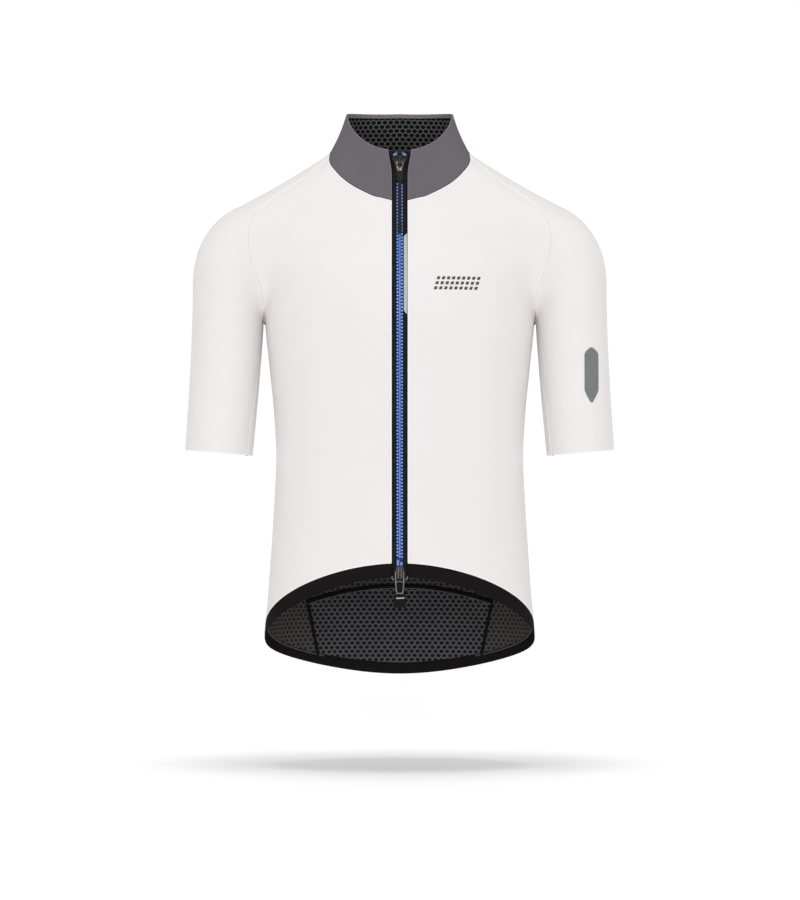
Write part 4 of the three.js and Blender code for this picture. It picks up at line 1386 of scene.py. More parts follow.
def thicken(made: bpy.types.Object, wall: float, levels: int = 1) -> None:
    """Gives a sheet its wall, inwards, and rounds its edges.

    Args:
        made: The sheet.
        wall: Its thickness.
        levels: How often it is subdivided.
    """
    solidify = made.modifiers.new("wall", "SOLIDIFY")
    solidify.thickness = wall * MM
    solidify.offset = -1
    solidify.use_even_offset = True
    if len(made.data.materials) > 1:
        solidify.material_offset = 1
    if levels:
        subdivide = made.modifiers.new("round", "SUBSURF")
        subdivide.levels = levels
        subdivide.render_levels = levels


def cloth(name: str, grid: Grid, finishes: Sequence[object], slot: str, **extra: object) -> bpy.types.Object:
    """Args:
        name: The panel's name, which is also its node's.
        grid: Where its outer face lies.
        finishes: The outside's finish, and the inside's.
        slot: A material slot's name, which is not used.
        extra: wall, replaces, upright and levels, where they differ from the usual; with_pieces is not used.

    Returns:
        The panel.
    """
    piece = Piece(name + "_cloth", *finishes)
    piece.patch(grid.with_rims(), upright=extra.get("upright", False))
    made = piece.done(replaces=extra.get("replaces", (name,)))
    thicken(made, extra.get("wall", WALL), extra.get("levels", 1))
    width, length, area = grid.cut()
    log.info("%s flat: %.0f x %.0f mm, %.0f cm2", name, width, length, area / 100)
    return made


@dataclass
class Shell:
    """The white panels: two fronts, a back, two raglan sleeves and the rear pocket."""

    form: Form
    front_across: int = 34
    back_across: int = 33
    side_steps: int = 56
    raglan_steps: int = 42
    sleeve_round: int = 52
    sleeve_down: int = 34
    lean_from: float = 0.8
    below_armpit: float = 0.25
    bow_from: float = 0.45
    pocket_rows: int = 22
    pocket_columns: int = 60
    pocket_turn: float = 40.0
    pocket_wall: float = 1.2
    pocket_top: float = -496.0
    pocket_arch: float = 8.0
    pocket_top_half: float = 138.0
    pocket_bottom_half: float = 109.0
    pocket_lift: float = 0.7
    pocket_fullness: float = 2.0
    pocket_compartments: int = 3

    def __post_init__(self) -> None:
        """Works out the seams and the panels' grids."""
        form = self.form
        steps = self.raglan_steps
        self.front_seam = form.raglan_seam(FRONT_RAGLAN, Side.FRONT, FRONT_RAGLAN_NECK_ANGLE, steps)
        self.back_seam = form.raglan_seam(BACK_RAGLAN, Side.BACK, BACK_RAGLAN_NECK_ANGLE, steps)
        neck_angle = self.zip_angle(form.neck_z(0.0))
        self.front_neck_angles = np.linspace(neck_angle, FRONT_RAGLAN_NECK_ANGLE, self.front_across + 1)
        self.back_neck_angles = np.linspace(BACK_ANGLE, BACK_RAGLAN_NECK_ANGLE, self.back_across + 1)
        self.sleeve_neck_angles = np.linspace(
            FRONT_RAGLAN_NECK_ANGLE, BACK_RAGLAN_NECK_ANGLE, self.sleeve_round + 1
        )
        self.front = self.panel(self.zip_angle, self.front_neck_angles, self.front_seam, Side.FRONT)
        self.back_half = self.panel(lambda z: BACK_ANGLE, self.back_neck_angles, self.back_seam, Side.BACK)
        self.sleeve = self.sleeve_grid()

    def zip_angle(self, z: float) -> float:
        """The angle of the front's zip edge at a height."""
        x, y, _ = self.form.seen(np.array([ZIP_EDGE]), np.array([z]), Side.FRONT)[0]
        return math.degrees(math.atan2(x, -y))

    def lower_panel(self, inner_angle: Callable[[float], float], columns: int) -> np.ndarray:
        """The part of a front or back from the hem band to the armpit.

        Args:
            inner_angle: The angle of its inner edge at a height.
            columns: How many columns it has.

        Returns:
            Its rows of places, the armpit's not among them.
        """
        armpit_z = self.form.armpit[2]
        start = float(self.form.band_top(inner_angle(armpit_z)))
        share = np.arange(self.side_steps)[:, None] / self.side_steps
        inner = np.array([inner_angle(lerp(start, armpit_z, v)) for v in share[:, 0]])[:, None]
        angle = lerp(inner, SIDE_ANGLE, np.linspace(0, 1, columns + 1)[None])
        return self.form.round_trunk(angle, lerp(self.form.band_top(angle), armpit_z, share))

    def upper_panel(
        self, bottom: np.ndarray, top: np.ndarray, inner: np.ndarray, outer: np.ndarray, side: Side
    ) -> np.ndarray:
        """The part between the armpit, the collar, an inner edge and a raglan seam.

        Args:
            bottom: Its places at the armpit's height.
            top: Its places on the neckline.
            inner: Its inner edge, from the bottom up.
            outer: Its raglan seam, from the bottom up.
            side: Whether it is on the front or the back.

        Returns:
            Its rows of places.
        """
        u = np.linspace(0, 1, len(bottom))[None, :, None]
        v = np.linspace(0, 1, len(inner))[:, None, None]
        corners = lerp(lerp(bottom[0], bottom[-1], u), lerp(top[0], top[-1], u), v)
        between = lerp(inner[:, None], outer[:, None], u) + lerp(bottom[None], top[None], v) - corners
        laid = self.form.seen(between[..., 0], between[..., 2], side)
        laid[0], laid[-1] = bottom, top
        laid[1:-1, 0], laid[1:-1, -1] = inner[1:-1], outer[1:-1]
        return laid

    def panel(
        self, inner_angle: Callable[[float], float], neck_angles: np.ndarray, seam: np.ndarray, side: Side
    ) -> Grid:
        """The wearer's left front, or the back's half on that side, from its inner edge to the side.

        Args:
            inner_angle: The angle of its inner edge at a height.
            neck_angles: The angle on the neckline of each column.
            seam: Its raglan seam.
            side: Whether it is on the front or the back.

        Returns:
            Its grid, from the hem band to the collar.
        """
        form = self.form
        columns = len(neck_angles) - 1
        armpit_z = form.armpit[2]
        angles = np.linspace(inner_angle(armpit_z), SIDE_ANGLE, columns + 1)
        armpit_row = form.round_trunk(angles, armpit_z)
        armpit_row[-1] = form.armpit
        neck = form.on_neckline(neck_angles)
        heights = np.linspace(armpit_z, neck[0, 2], self.raglan_steps + 1)
        if side is Side.FRONT:
            inner = form.seen(np.full(heights.shape, ZIP_EDGE), heights, side)
        else:
            inner = form.round_trunk(np.full(heights.shape, BACK_ANGLE), heights)
        upper = self.upper_panel(armpit_row, neck, inner, seam, side)
        return Grid.on(form, np.concatenate([self.lower_panel(inner_angle, columns), upper]))

    def back_grid(self) -> Grid:
        """The whole back."""
        half, other = self.back_half, self.back_half.mirrored()
        points = np.concatenate([half.points[:, ::-1], other.points[:, ::-1][:, 1:]], axis=1)
        normals = np.concatenate([half.normals[:, ::-1], other.normals[:, ::-1][:, 1:]], axis=1)
        return Grid(points, normals)

    def sleeve_grid(self) -> Grid:
        """The wearer's left sleeve, from the cuff to the collar."""
        form = self.form
        down = 1 - np.arange(self.sleeve_down) / self.sleeve_down
        share_below = lerp(form.armpit_share, form.cuff_share, down)
        lean = UNDERARM_LEAN * smoothstep(down, 0, self.lean_from)
        rim = form.sleeve_place(share_below, -math.pi + lean)
        edges = []
        for seam, sign in ((self.front_seam, -1), (self.back_seam, 1)):
            share, turn = form.round_arm(seam)
            turn = np.r_[sign * math.pi, turn[1:]]
            edges.append(
                (
                    np.r_[share_below, share][:, None],
                    np.r_[sign * math.pi + lean, turn][:, None],
                    np.vstack([rim, seam]),
                )
            )
        (first_share, first_turn, first_place), (last_share, last_turn, last_place) = edges
        neck = form.on_neckline(self.sleeve_neck_angles)
        neck_share, neck_turn = form.round_arm(neck)
        u = np.linspace(0, 1, self.sleeve_round + 1)[None]
        below = self.below_armpit * np.arange(self.sleeve_down) / self.sleeve_down
        above = self.below_armpit + (1 - self.below_armpit) * np.linspace(0, 1, self.raglan_steps + 1)
        up = smoothstep(np.r_[below, above], self.bow_from, 1)[:, None]
        bow = neck_share - lerp(first_share[-1], last_share[-1], u)
        turn_bow = neck_turn - lerp(first_turn[-1], last_turn[-1], u)
        share = lerp(first_share, last_share, u) + bow * up
        turn = lerp(first_turn, last_turn, u) + turn_bow * up
        points = form.sleeve_place(share, turn)
        points[:, 0], points[:, -1], points[-1] = first_place, last_place, neck
        lower = self.sleeve_down + 1
        normals = np.concatenate(
            [normals_of(form.arm_field, points[:lower]), normals_of(form.field, points[lower:])]
        )
        return Grid(points, normals)

    def pocket_grid(self) -> Grid:
        """The rear pocket's patch, fuller in the mouth of each compartment."""
        v = np.linspace(0, 1, self.pocket_rows + 1)[:, None]
        across = np.linspace(1, -1, self.pocket_columns + 1)[None]
        arch = self.pocket_arch * (1 - across**2) * v
        foot = self.form.band_top(BACK_ANGLE - np.abs(across) * self.pocket_turn)
        x = lerp(self.pocket_bottom_half, self.pocket_top_half, v) * across
        points = self.form.seen(x, lerp(foot, self.pocket_top, v) + arch, Side.BACK)
        belly = np.abs(np.sin(np.pi * self.pocket_compartments * (1 - across) / 2))
        out = WALL + self.pocket_lift + self.pocket_fullness * belly * np.sqrt(v)
        return Grid.on(self.form, points).moved(out)

    def build(self) -> None:
        """Makes the five panels and the pocket."""
        panels = {
            "front_left": self.front,
            "front_right": self.front.mirrored(),
            "back": self.back_grid(),
            "sleeve_left": self.sleeve,
            "sleeve_right": self.sleeve.mirrored(),
        }
        for name, grid in panels.items():
            cloth(name, grid.creased(), (SHELL_OUTSIDE, SHELL_INSIDE), "shell", upright=name == "back")
        cloth("rear_pocket", self.pocket_grid(), (SHELL_OUTSIDE,), "shell", wall=self.pocket_wall)

    def seams(self) -> None:
        """Makes the seams that join the panels: a bead of thread behind each, and a fine raglan line."""
        piece = Piece("seam_beads", GREY_THREAD)
        for grid, edge in ((self.sleeve, "left"), (self.sleeve, "right"), (self.front, "right")):
            line = grid.rim_line(edge)
            for one in (line, line.mirrored()):
                piece.cord(one, SEAM_BEAD)
        piece.done()
        fine = Piece("raglan_lines", SEAM_THREAD)
        for edge, first, last in (("left", 0.06, 0.63), ("right", 0.06, 0.98)):
            whole = self.sleeve.rim_line(edge)
            rows = slice(*(self.sleeve_down + round(self.raglan_steps * share) for share in (first, last)))
            line = Seam(whole.points[rows], whole.normals[rows])
            for one in (line, line.mirrored()):
                fine.cord(one, RAGLAN_LINE)
        fine.done()


@dataclass
class Collar:
    """The grey stand collar, with its edge turned in over a honeycomb inside."""

    form: Form
    shell: Shell
    rows: int = 12
    height: float = 52.0
    facing_deep: float = 6.4
    facing_wall: float = 0.5

    def half(self, shares: np.ndarray) -> np.ndarray:
        """The collar's half on the wearer's left, from the zip to the middle of the back.

        Args:
            shares: How far up the collar each row is.

        Returns:
            Its rows of places.
        """
        form, shell = self.form, self.shell
        angles = np.concatenate(
            [shell.front_neck_angles, shell.sleeve_neck_angles[1:], shell.back_neck_angles[-2::-1]]
        )
        start, _ = form.collar_across(form.collar_edge(shares), shares)
        late = np.maximum(1 - np.arange(len(angles)) / shell.front_across, 0)
        turned = angles[None] + (start - angles[0])[:, None] * late[None]
        laid = form.collar_place(turned, np.broadcast_to(shares[:, None], turned.shape))
        if shares[0] == 0:
            laid[0] = form.on_neckline(angles)
        return laid

    def grid(self, shares: np.ndarray) -> Grid:
        """Both halves as one grid, from the zip round the back to the zip."""
        half = self.half(shares)
        other = half[:, :-1] * OTHER_SIDE
        return Grid.own(np.concatenate([half, other[:, ::-1]], axis=1))

    def build(self) -> None:
        """Makes the collar and what is sewn to it."""
        whole = self.grid(np.linspace(0, 1, self.rows + 1))
        edge = self.grid(np.linspace(1 - self.facing_deep / self.height, 1, 4))
        inside = edge.moved(-WALL - self.facing_wall)
        facing = Grid(inside.points[:, ::-1], -inside.normals[:, ::-1])
        piece = Piece("collar_facing", COLLAR_FACING)
        piece.patch(facing.with_rims(0.6))
        trim = piece.done()
        thicken(trim, self.facing_wall)
        line = Piece("collar_stitching", BLACK_THREAD, GREY_THREAD, COLLAR_THREAD)
        line.cord(facing.rim_line("bottom"), FACING_LINE)
        line.cord(whole.rim_line("bottom"), COLLAR_BEAD, 1)
        line.cord(whole.rim_line("bottom"), COLLAR_LINE, 2)
        sewing = line.done()
        cloth("collar", whole, (COLLAR_OUTSIDE, COLLAR_INSIDE), "collar", with_pieces=(trim, sewing))


@dataclass
class HemBands:
    """The black elastic bands at the hem."""

    form: Form
    shell: Shell
    rows: int = 4

    def grid(self, panel: Grid) -> Grid:
        """The band below a panel."""
        foot = panel.points[0]
        angle = np.degrees(np.arctan2(foot[:, 0], -foot[:, 1]))
        low = self.form.hem_z(np.abs(angle))
        share = np.linspace(0, 1, self.rows + 1)[:, None]
        height = lerp(low, foot[:, 2], share)
        points = self.form.round_trunk(np.broadcast_to(angle, height.shape), height)
        points[-1] = foot
        return Grid.on(self.form, points)

    def build(self) -> None:
        """Makes the three bands and the bead behind their seam."""
        front, back = self.grid(self.shell.front), self.grid(self.shell.back_grid())
        for name, grid in {"front_left": front, "front_right": front.mirrored(), "back": back}.items():
            cloth("hem_band_" + name, grid, (BAND_FINISH,), "band")
        beads = Piece("hem_beads", BLACK_THREAD)
        for line in (front.rim_line("top"), front.rim_line("top").mirrored(), back.rim_line("top")):
            beads.cord(line, HEM_BEAD)
        beads.done()


@dataclass
class InsidePatch:
    """The patch inside the back, seen through the hem: its seams, a black strip of painted shadow along its
    upper edge, and its stitching.
    """

    form: Form
    columns: int = 60
    rows: int = 24
    piping_steps: int = 23
    stitching_steps: int = 69
    corner_x: float = 123.0
    corner_z: float = -585.0
    peak_z: float = -565.0
    foot_x: float = 110.0
    back_deep: float = 95.0
    deep: float = 1.0
    gape: float = 1.6
    # The black strip above the patch's upper edge is painted shadow, the shade where that edge stands off the
    # back: its height, lift and widening.
    painted_shadow_band: float = 5.0
    painted_shadow_band_up: float = 0.6
    painted_shadow_band_wider: float = 0.02
    piping_deep: float = 1.3
    piping_radius: float = 2.2
    thread_radius: float = 0.6
    stitching_from: float = 86.0
    stitching_to: float = 134.0

    def places(self, across: np.ndarray, up: np.ndarray) -> np.ndarray:
        """Places on the back's skin, by the share across the patch and the share up it."""
        x = lerp(self.foot_x, self.corner_x, up) * across
        top = lerp(self.peak_z, self.corner_z, across**2)
        angle = np.degrees(np.arctan2(np.abs(x), self.back_deep))
        foot = self.form.band_top(BACK_ANGLE - angle) + 1
        return self.form.seen(x, lerp(foot, top, up), Side.BACK)

    def inward(self, points: np.ndarray, deep: np.ndarray | float) -> Grid:
        """A grid on the inside of the back, at a depth below its outer skin."""
        out = normals_of(self.form.field, points)
        return Grid(points - out * np.asarray(deep)[..., None], -out)

    def line(self, points: np.ndarray, deep: float) -> Seam:
        """A line on the inside of the back, at a depth below its outer skin."""
        laid = self.inward(points, deep)
        return Seam(laid.points, laid.normals)

    def trim(self, across: np.ndarray) -> bpy.types.Object:
        """Makes the piping at the patch's sides, and along the upper edge a black strip of painted shadow
        with a line of stitching.
        """
        piece = Piece("inside_piping", BLACK_THREAD, BAND_FINISH, GREY_THREAD)
        rise = np.linspace(-0.02, 1.12, self.piping_steps + 1)
        for side in (-1.0, 1.0):
            beside = self.places(side + 0 * rise, rise)
            piece.tube(self.line(beside, WALL + self.piping_deep), self.piping_radius, flat=0.55)
        edge = self.places(across, np.ones(across.shape))
        # Painted shadow: a black strip rising from the upper edge.
        rows = []
        for share, lift in ((0, 2.0), (0.25, 2.9), (0.6, 2.6), (1.0, 0.9)):
            x = edge[:, 0] * (1 + self.painted_shadow_band_wider * share)
            z = edge[:, 2] + self.painted_shadow_band_up + self.painted_shadow_band * share
            rows.append(self.inward(self.form.seen(x, z, Side.BACK), WALL + lift))
        painted_shadow_band = Grid(np.stack([row.points for row in rows]), np.stack([row.normals for row in rows]))
        piece.patch(painted_shadow_band, finish=1)
        piece.tube(self.line(edge, WALL + 2.7), self.thread_radius, sides=6, finish=2)
        return piece.done()

    def build(self) -> None:
        """Makes the patch with its trim, and the stitching below it."""
        across = np.linspace(-1, 1, self.columns + 1)
        up = np.linspace(0, 1, self.rows + 1)[:, None]
        deep = WALL + self.deep + self.gape * up**6 + 0 * across[None]
        grid = self.inward(self.places(across[None], up), deep)
        extra = {"wall": 0.8, "replaces": (), "with_pieces": (self.trim(across),), "upright": True}
        cloth("inside_patch", grid, (PATCH_INSIDE,), "shell", **extra)
        stitching = Piece("inside_stitching", GREY_THREAD)
        angle = np.linspace(self.stitching_from, self.stitching_to, self.stitching_steps + 1)
        for side in (-1, 1):
            points = self.form.round_trunk(side * angle, self.form.band_top(angle) - 0.6)
            stitching.tube(self.line(points, WALL + self.deep), self.thread_radius, sides=6)
        stitching.done()


@dataclass
class Zip:
    """The two-way zip: tapes, teeth, ribbon, sliders and pulls."""

    form: Form
    pitch: float = 4.26
    teeth_bottom: float = -526.8
    teeth_top: float = -39.5
    tooth_low: float = -1.7
    tooth_high: float = 0.5
    tooth_chamfer: float = 0.3
    core_half: float = 4.3
    core_under: float = 1.1
    first_tooth: int = 2
    tape_gap: float = 0.15
    tape_rows: int = 130
    tape_columns: int = 9
    core_rows: int = 120
    ribbon_bottom: float = -209.6
    ribbon_top: float = -105.5
    ribbon_inner: float = 5.15
    ribbon_outer: float = 9.75
    ribbon_slant: float = 4.6
    bar_z: float = -568.1
    bar_slant: float = 0.05
    webbing_out: float = 4.95
    bottom_slider_z: float = -536.0
    loop_top: float = -12.9
    stitching_aside: float = 3.0

    def __post_init__(self) -> None:
        """Works out the zip's middle line."""
        heights = np.arange(-562.0, 12.0, 3.0)
        points = self.form.zip_place(np.full(heights.shape, 0.02), heights)
        points[:, 0] = 0
        self.heights, self.middle = heights, points
        self.up = unit(np.gradient(points, axis=0))

    def frame_at(self, z: float) -> Matrix:
        """The zip's own frame at a height: x across, y up along the zip and z straight out."""
        middle = [np.interp(z, self.heights, self.middle[:, k]) for k in range(3)]
        up = Vector([np.interp(z, self.heights, self.up[:, k]) for k in range(3)]).normalized()
        across = Vector((1, 0, 0))
        turn = Matrix((across, up, across.cross(up))).transposed().to_4x4()
        return Matrix.Translation(Vector(middle)) @ turn

    def strip(
        self, heights: np.ndarray, inner: np.ndarray | float, outer: np.ndarray | float, columns: int
    ) -> Grid:
        """A strip along the zip between two ways from its middle."""
        inner, outer = (np.broadcast_to(edge, heights.shape)[:, None] for edge in (inner, outer))
        across = lerp(inner, outer, np.linspace(0, 1, columns)[None])
        return Grid.own(self.form.zip_place(across, np.broadcast_to(heights[:, None], across.shape)))

    def laid(self, line: Iterable[Sequence[float]]) -> Seam:
        """A line that is given in the bottom slider's frame, as places across, up along the zip and out."""
        turn = self.frame_at(self.bottom_slider_z)
        points = np.array([turn @ Vector(place) for place in line])
        out = np.array(turn.to_3x3() @ Vector((0, 0, 1)))
        return Seam(points, np.repeat(out[None], len(points), axis=0))

    def tapes(self) -> None:
        """Makes the tapes, each with a fine corded line."""
        bottom = float(self.form.hem_z(0.0)) + 0.3
        heights = np.linspace(bottom, TAPE_TOP, self.tape_rows)
        inner = self.tape_gap + TAPE_FLARE * smoothstep(heights, TAPE_FLARE_FROM, TAPE_FLARE_TO)
        outer = self.form.collar_edge(self.form.collar_share(heights)) + TAPE_HALF - ZIP_EDGE
        grid = self.strip(heights, inner, outer, self.tape_columns).moved(-TAPE_DROP)
        corded = self.strip(heights, *(way + inner - self.tape_gap for way in (6.6, 7.2)), 2)
        line = Seam(corded.points[:, 0], corded.normals[:, 0]).moved(-TAPE_DROP)
        for name, laid, cord in (("left", grid, line), ("right", grid.mirrored(), line.mirrored())):
            lines = Piece("tape_lines_" + name, TAPE_CORD)
            lines.cord(cord, TAPE_LINE)
            trim = lines.done()
            cloth("zip_tape_" + name, laid, (TAPE_FINISH,), "tape", wall=TAPE_WALL, with_pieces=(trim,))

    def teeth(self) -> None:
        """Makes the moulded teeth, locked into each other, on their dark core."""
        lower = np.array(
            [(-1.25, -0.55), (-0.7, -0.98), (0.6, -0.98), (1.5, -0.6)]
            + [(2.2, -1.05), (3.5, -1.15), (3.85, -0.75)]
        )
        right = np.vstack([lower, lower[::-1] * np.array([1, -1])])
        left = right[::-1] * OTHER_SIDE[:2]
        sizes = (self.tooth_low, self.tooth_high, self.tooth_chamfer)
        piece = Piece("zip_teeth", TEETH_FINISH, CORE_FINISH)
        count = int((self.teeth_top - self.teeth_bottom) / self.pitch)
        for k in range(self.first_tooth, count):
            z = self.teeth_bottom + (k + 0.5) * self.pitch
            piece.solid(right, *sizes, self.frame_at(z))
            piece.solid(left, *sizes, self.frame_at(z + self.pitch / 2 - 0.01))
        heights = np.linspace(self.teeth_bottom - 1, self.teeth_top, self.core_rows)
        core = self.strip(heights, -self.core_half, self.core_half, 5)
        piece.patch(core.moved(-self.core_under), finish=1)
        piece.done(replaces=("zip_chain",))

    def ribbon(self) -> None:
        """Makes the pale ribbon on the wearer's left tape, cut slantwise at its ends."""
        x = np.linspace(self.ribbon_inner, self.ribbon_outer, 9)[None]
        slant = self.ribbon_slant * ((self.ribbon_outer - x) / (self.ribbon_outer - self.ribbon_inner)) ** 1.4
        share = np.linspace(0, 1, 41)[:, None]
        z = lerp(self.ribbon_bottom + slant, self.ribbon_top - slant, share)
        grid = Grid.own(self.form.zip_place(np.broadcast_to(x, z.shape), z)).moved(-0.55)
        piece = Piece("zip_ribbon_strip", RIBBON_FINISH)
        piece.patch(grid.with_rims(0.4))
        thicken(piece.done(replaces=("zip_ribbon",)), 1.1)

    def stops(self) -> None:
        """Makes the two pale stops above the top slider."""
        for side in ("left", "right"):
            name = "zip_stop_" + side
            piece = Piece(name + "_part", STOP_FINISH)
            piece.copy_of(name, 0.45)
            piece.done(replaces=(name,))

    def sliders(self) -> None:
        """Makes the sliders, each with its pull on its own body."""
        parts = (
            ("zip_top_slider", SLIDER_FINISH, "slider", GARMENT, 0.45),
            ("zip_bottom_slider", BLACK_SLIDER_FINISH, "slider_black", GARMENT, 0.35),
            ("zip_top_pull", PULL_FINISH, "slider", "top_pull", 0.35),
            ("zip_top_puller", PULLER_FINISH, "puller", "top_pull", 0.5),
            ("zip_bottom_webbing", WEBBING_FINISH, "webbing", "bottom_pull", 0.25),
        )
        below_bar = self.frame_at(self.bottom_slider_z) @ Vector((0, self.loop_top, 0))
        for name, finish, slot, body, softened in parts:
            piece = Piece(name + "_part", finish)
            piece.copy_of(name, softened)
            if finish is WEBBING_FINISH:
                for vertex in piece.mesh.verts:
                    vertex.co.z = min(vertex.co.z, below_bar.z)
            piece.done(body, (name,))

    def bottom_pull(self) -> None:
        """Makes the bottom slider's pull: a frame of bent wire, with a bar and an axle across."""
        half = np.array(
            [(4.9, 1.6), (5.0, -2), (5.15, -8), (5.05, -12), (4.25, -20), (3.8, -24.2)]
            + [(3.4, -25.4), (2.4, -26.0), (0, -26.0)]
        )
        whole = np.vstack([half, half[-2::-1] * OTHER_SIDE[:2]])
        bow = spaced_curve(np.column_stack([whole, np.full(len(whole), 4.1)]), 72)
        bar = [(x, -11.3, 4.3) for x in (-4.9, -2, 2, 4.9)]
        axle = [(x, 1.7, 4.1) for x in (-5.2, -2, 2, 5.2)]
        piece = Piece("zip_bottom_pull_part", FRAME_FINISH, BLACK_SLIDER_FINISH)
        piece.tube(self.laid(bow), 0.9, flat=0.85)
        piece.tube(self.laid(bar), 0.75)
        piece.tube(self.laid(axle), 0.8, finish=1)
        piece.done("bottom_pull", ("zip_bottom_pull",))

    def ridges(self) -> None:
        """Makes the bottom slider's two thin pale ridges, bent down at both ends: a painted highlight along
        the edges of its bridge.
        """
        # Pale grey tubes that paint the highlight on the bridge's edges.
        piece = Piece("zip_bottom_bridge_highlights", FRAME_FINISH)
        y = np.linspace(6.2, -7.2, 9)
        out = 6.75 - 1.2 * np.clip((np.abs(y) - 5.2) / 2.2, 0, 1)
        for x in (-2.0, 2.0):
            piece.tube(self.laid(np.column_stack([0 * y + x, y, out])), 0.5)
        piece.done()

    def end_stops(self) -> None:
        """Makes the two pale blocks at the teeth's lower end."""
        piece = Piece("zip_end_stops", STOP_FINISH)
        for x, top in (((-3.75, -0.5, -0.5, -3.75), -519.6), ((0.5, 3.75, 3.75, 0.5), -522.4)):
            middle, tall = (top + self.teeth_bottom) / 2, (top - self.teeth_bottom) / 2
            outline = np.column_stack([x, (-tall, -tall, tall, tall)])
            piece.solid(outline, self.tooth_low, 0.62, 0.35, self.frame_at(middle))
        piece.done()

    def corners(self) -> None:
        """Makes the sealed corners of the tapes, below the bottom slider's mouth."""
        piece = Piece("tape_corners", TAPE_EDGE)
        bend = np.array([(9.6, -4.4, -0.6), (9.7, -7, -0.3), (8.9, -8.3, 0), (7.6, -8.6, 0.1)])
        for side in (-1, 1):
            piece.tube(self.laid(bend * np.array([side, 1, 1])), 0.6, flat=0.7)
        piece.done()

    def bar(self) -> None:
        """Makes the pale bar of close stitches across the webbing."""
        x = np.linspace(-4.2, 5.6, 12)
        y = self.bar_z - self.bottom_slider_z + self.bar_slant * x
        piece = Piece("webbing_bar", PALE_THREAD)
        line = self.laid(np.column_stack([x, y, 0 * x + self.webbing_out]))
        piece.stitches(line, pitch=0.6, long=2.3, radius=0.4, turned=True)
        piece.done("bottom_pull")

    def topstitching(self) -> None:
        """Makes the stitching beside the zip, through the fronts."""
        heights = np.linspace(self.form.hem_z(0.0) + 18, self.form.neck_z(0.0) - 2, 160)
        for side in (-1, 1):
            way = np.full(heights.shape, side * (ZIP_EDGE + self.stitching_aside))
            points = self.form.zip_place(way, heights)
            seam = Seam(points, normals_of(self.form.field, points))
            piece = Piece("zip_stitching_" + ("left" if side > 0 else "right"), WHITE_THREAD)
            piece.stitches(seam.moved(0.05), pitch=3.2, long=2.6, radius=0.3)
            piece.done()

    def build(self) -> None:
        """Makes the whole zip."""
        self.tapes()
        self.teeth()
        self.ribbon()
        self.stops()
        self.sliders()
        self.bottom_pull()
        self.ridges()
        self.end_stops()
        self.corners()
        self.bar()
        self.topstitching()


@dataclass
class Marks:
    """Plain printed marks: rows of small squares on the chest and a bare tab on the sleeve."""

    form: Form
    rows: int = 3
    in_row: int = 9
    apart: float = 6.4
    left: float = 43.0
    low: float = -178.0
    size: float = 3.9
    lean: float = 0.28
    tab_x: float = 246.2
    tab_half: float = 9.4
    tab_low: float = -320.0
    tab_high: float = -249.0

    def printed(self, piece: Piece, x: np.ndarray, z: np.ndarray, out: float) -> None:
        """Adds a printed patch on the front, a little way out from the creased cloth."""
        points = self.form.seen(x, z, Side.FRONT)
        piece.patch(Grid.on(self.form, points).moved(out - crease(points)))

    def square(self, piece: Piece, x: float, z: float) -> None:
        """Adds one slanting square."""
        across = np.linspace(0, self.size, 3)[None]
        up = np.linspace(0, self.size, 3)[:, None]
        self.printed(piece, x + across + self.lean * up, z + up + 0 * across, 0.06)

    def chest(self) -> None:
        """Makes the chest's mark, even rows of small slanting squares, on the wearer's left."""
        piece = Piece("chest_print", DARK_PRINT)
        for row in range(self.rows):
            left, low = self.left + self.lean * self.apart * row, self.low + self.apart * row
            for place in range(self.in_row):
                self.square(piece, left + self.apart * place, low)
        thicken(piece.done(), 0.12, 0)

    def sleeve(self) -> None:
        """Makes the tab on the wearer's left sleeve, a long rounded lozenge."""
        piece = Piece("sleeve_print", GREY_PRINT)
        up = np.linspace(0, 1, 25)[:, None]
        half = self.tab_half * np.clip(np.minimum(up / 0.22, (1 - up) / 0.1), 0.06, 1) ** 0.7
        x = self.tab_x + np.linspace(-1, 1, 9)[None] * half
        self.printed(piece, x, lerp(self.tab_low, self.tab_high, up) + 0 * x, 0.1)
        thicken(piece.done(), 0.15)

    def build(self) -> None:
        """Makes both marks."""
        self.chest()
        self.sleeve()


@dataclass(frozen=True)
class Lamp:
    """A broad lamp, tilted to the front by an angle and as wide as another, in degrees."""

    name: str
    strength: float
    tilt: float
    wide: float


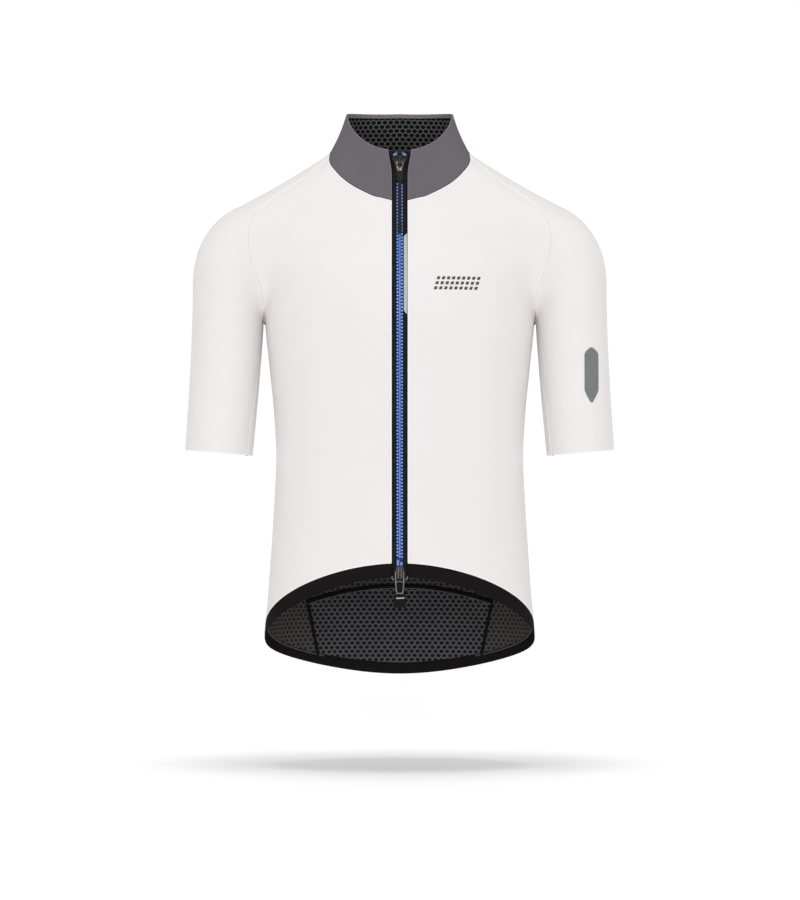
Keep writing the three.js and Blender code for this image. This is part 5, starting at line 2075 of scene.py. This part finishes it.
@dataclass(frozen=True)
class Studio:
    """The camera, the floor and the lights."""

    distance: float = 4000.0
    middle_x: float = 0.39
    middle_z: float = -380.9
    seen_height: float = 1170.0
    sensor: float = 36.0
    floor_z: float = -791.7
    floor_half: float = 14.0
    floor_tone: float = 0.92
    floor_glow: float = 0.16
    backdrop: float = 1.04
    room_aside: float = 0.7
    room_ahead: float = 0.34
    room_above: float = 0.56
    lamps: tuple[Lamp, ...] = (Lamp("overhead", 1.25, 4, 25), Lamp("front", 0.62, 76, 24))

    def camera(self) -> None:
        """Puts the camera where the photograph was taken from."""
        data = bpy.data.cameras.new("camera")
        data.sensor_width = self.sensor
        data.lens = self.sensor * self.distance / self.seen_height
        data.clip_end = 60
        made = placed("camera", data)
        made.location = (self.middle_x * MM, -self.distance * MM, self.middle_z * MM)
        made.rotation_euler = (math.pi / 2, 0, 0)
        bpy.context.scene.camera = made

    def floor(self) -> None:
        """Lays a plain pale floor."""
        mesh = bmesh.new()
        bmesh.ops.create_grid(mesh, x_segments=8, y_segments=8, size=self.floor_half)
        bmesh.ops.translate(mesh, verts=mesh.verts, vec=(0, 0, self.floor_z * MM))
        data = mesh_data("floor", mesh)
        finish = {
            "Base Color": (self.floor_tone, self.floor_tone, self.floor_tone, 1),
            "Roughness": 0.9,
            "Specular IOR Level": 0.0,
            "Emission Color": (1, 1, 1, 1),
            "Emission Strength": self.floor_glow,
        }
        data.materials.append(Graph.of_material("pale_floor").finish(finish))
        placed("floor", data)

    def lights(self) -> None:
        """Sets plain soft light: a pale room, lighter in front and behind, and two broad lamps."""
        world = bpy.data.worlds.new("room")
        graph = Graph(world, "World")
        _, ahead, above = graph.parts(graph.node("ShaderNodeTexCoord", {}, {}).outputs["Generated"])
        strength = self.room_aside + ahead * ahead * self.room_ahead - above * above * self.room_above
        seen = Value(graph, graph.node("ShaderNodeLightPath", {}, {}).outputs["Is Camera Ray"])
        white = {"Color": (1, 1, 1, 1), "Strength": strength + seen * (self.backdrop - strength)}
        graph.tree.links.new(graph.node("ShaderNodeBackground", {}, white).outputs[0], graph.output.inputs[0])
        bpy.context.scene.world = world
        bpy.context.scene.view_settings.view_transform = "Standard"
        for lamp in self.lamps:
            data = bpy.data.lights.new(lamp.name, "SUN")
            data.energy = lamp.strength
            data.angle = math.radians(lamp.wide)
            placed(lamp.name, data).rotation_euler = (math.radians(lamp.tilt), 0, 0)


def main() -> None:
    """Builds and dresses the jersey, piece by piece."""
    logging.basicConfig(level=logging.INFO, format="%(message)s")
    studio = Studio()
    studio.camera()
    studio.floor()
    studio.lights()
    form = Form()
    shell = Shell(form)
    shell.build()
    shell.seams()
    Collar(form, shell).build()
    HemBands(form, shell).build()
    InsidePatch(form).build()
    Zip(form).build()
    Marks(form).build()


if __name__ == "__main__":
    main()
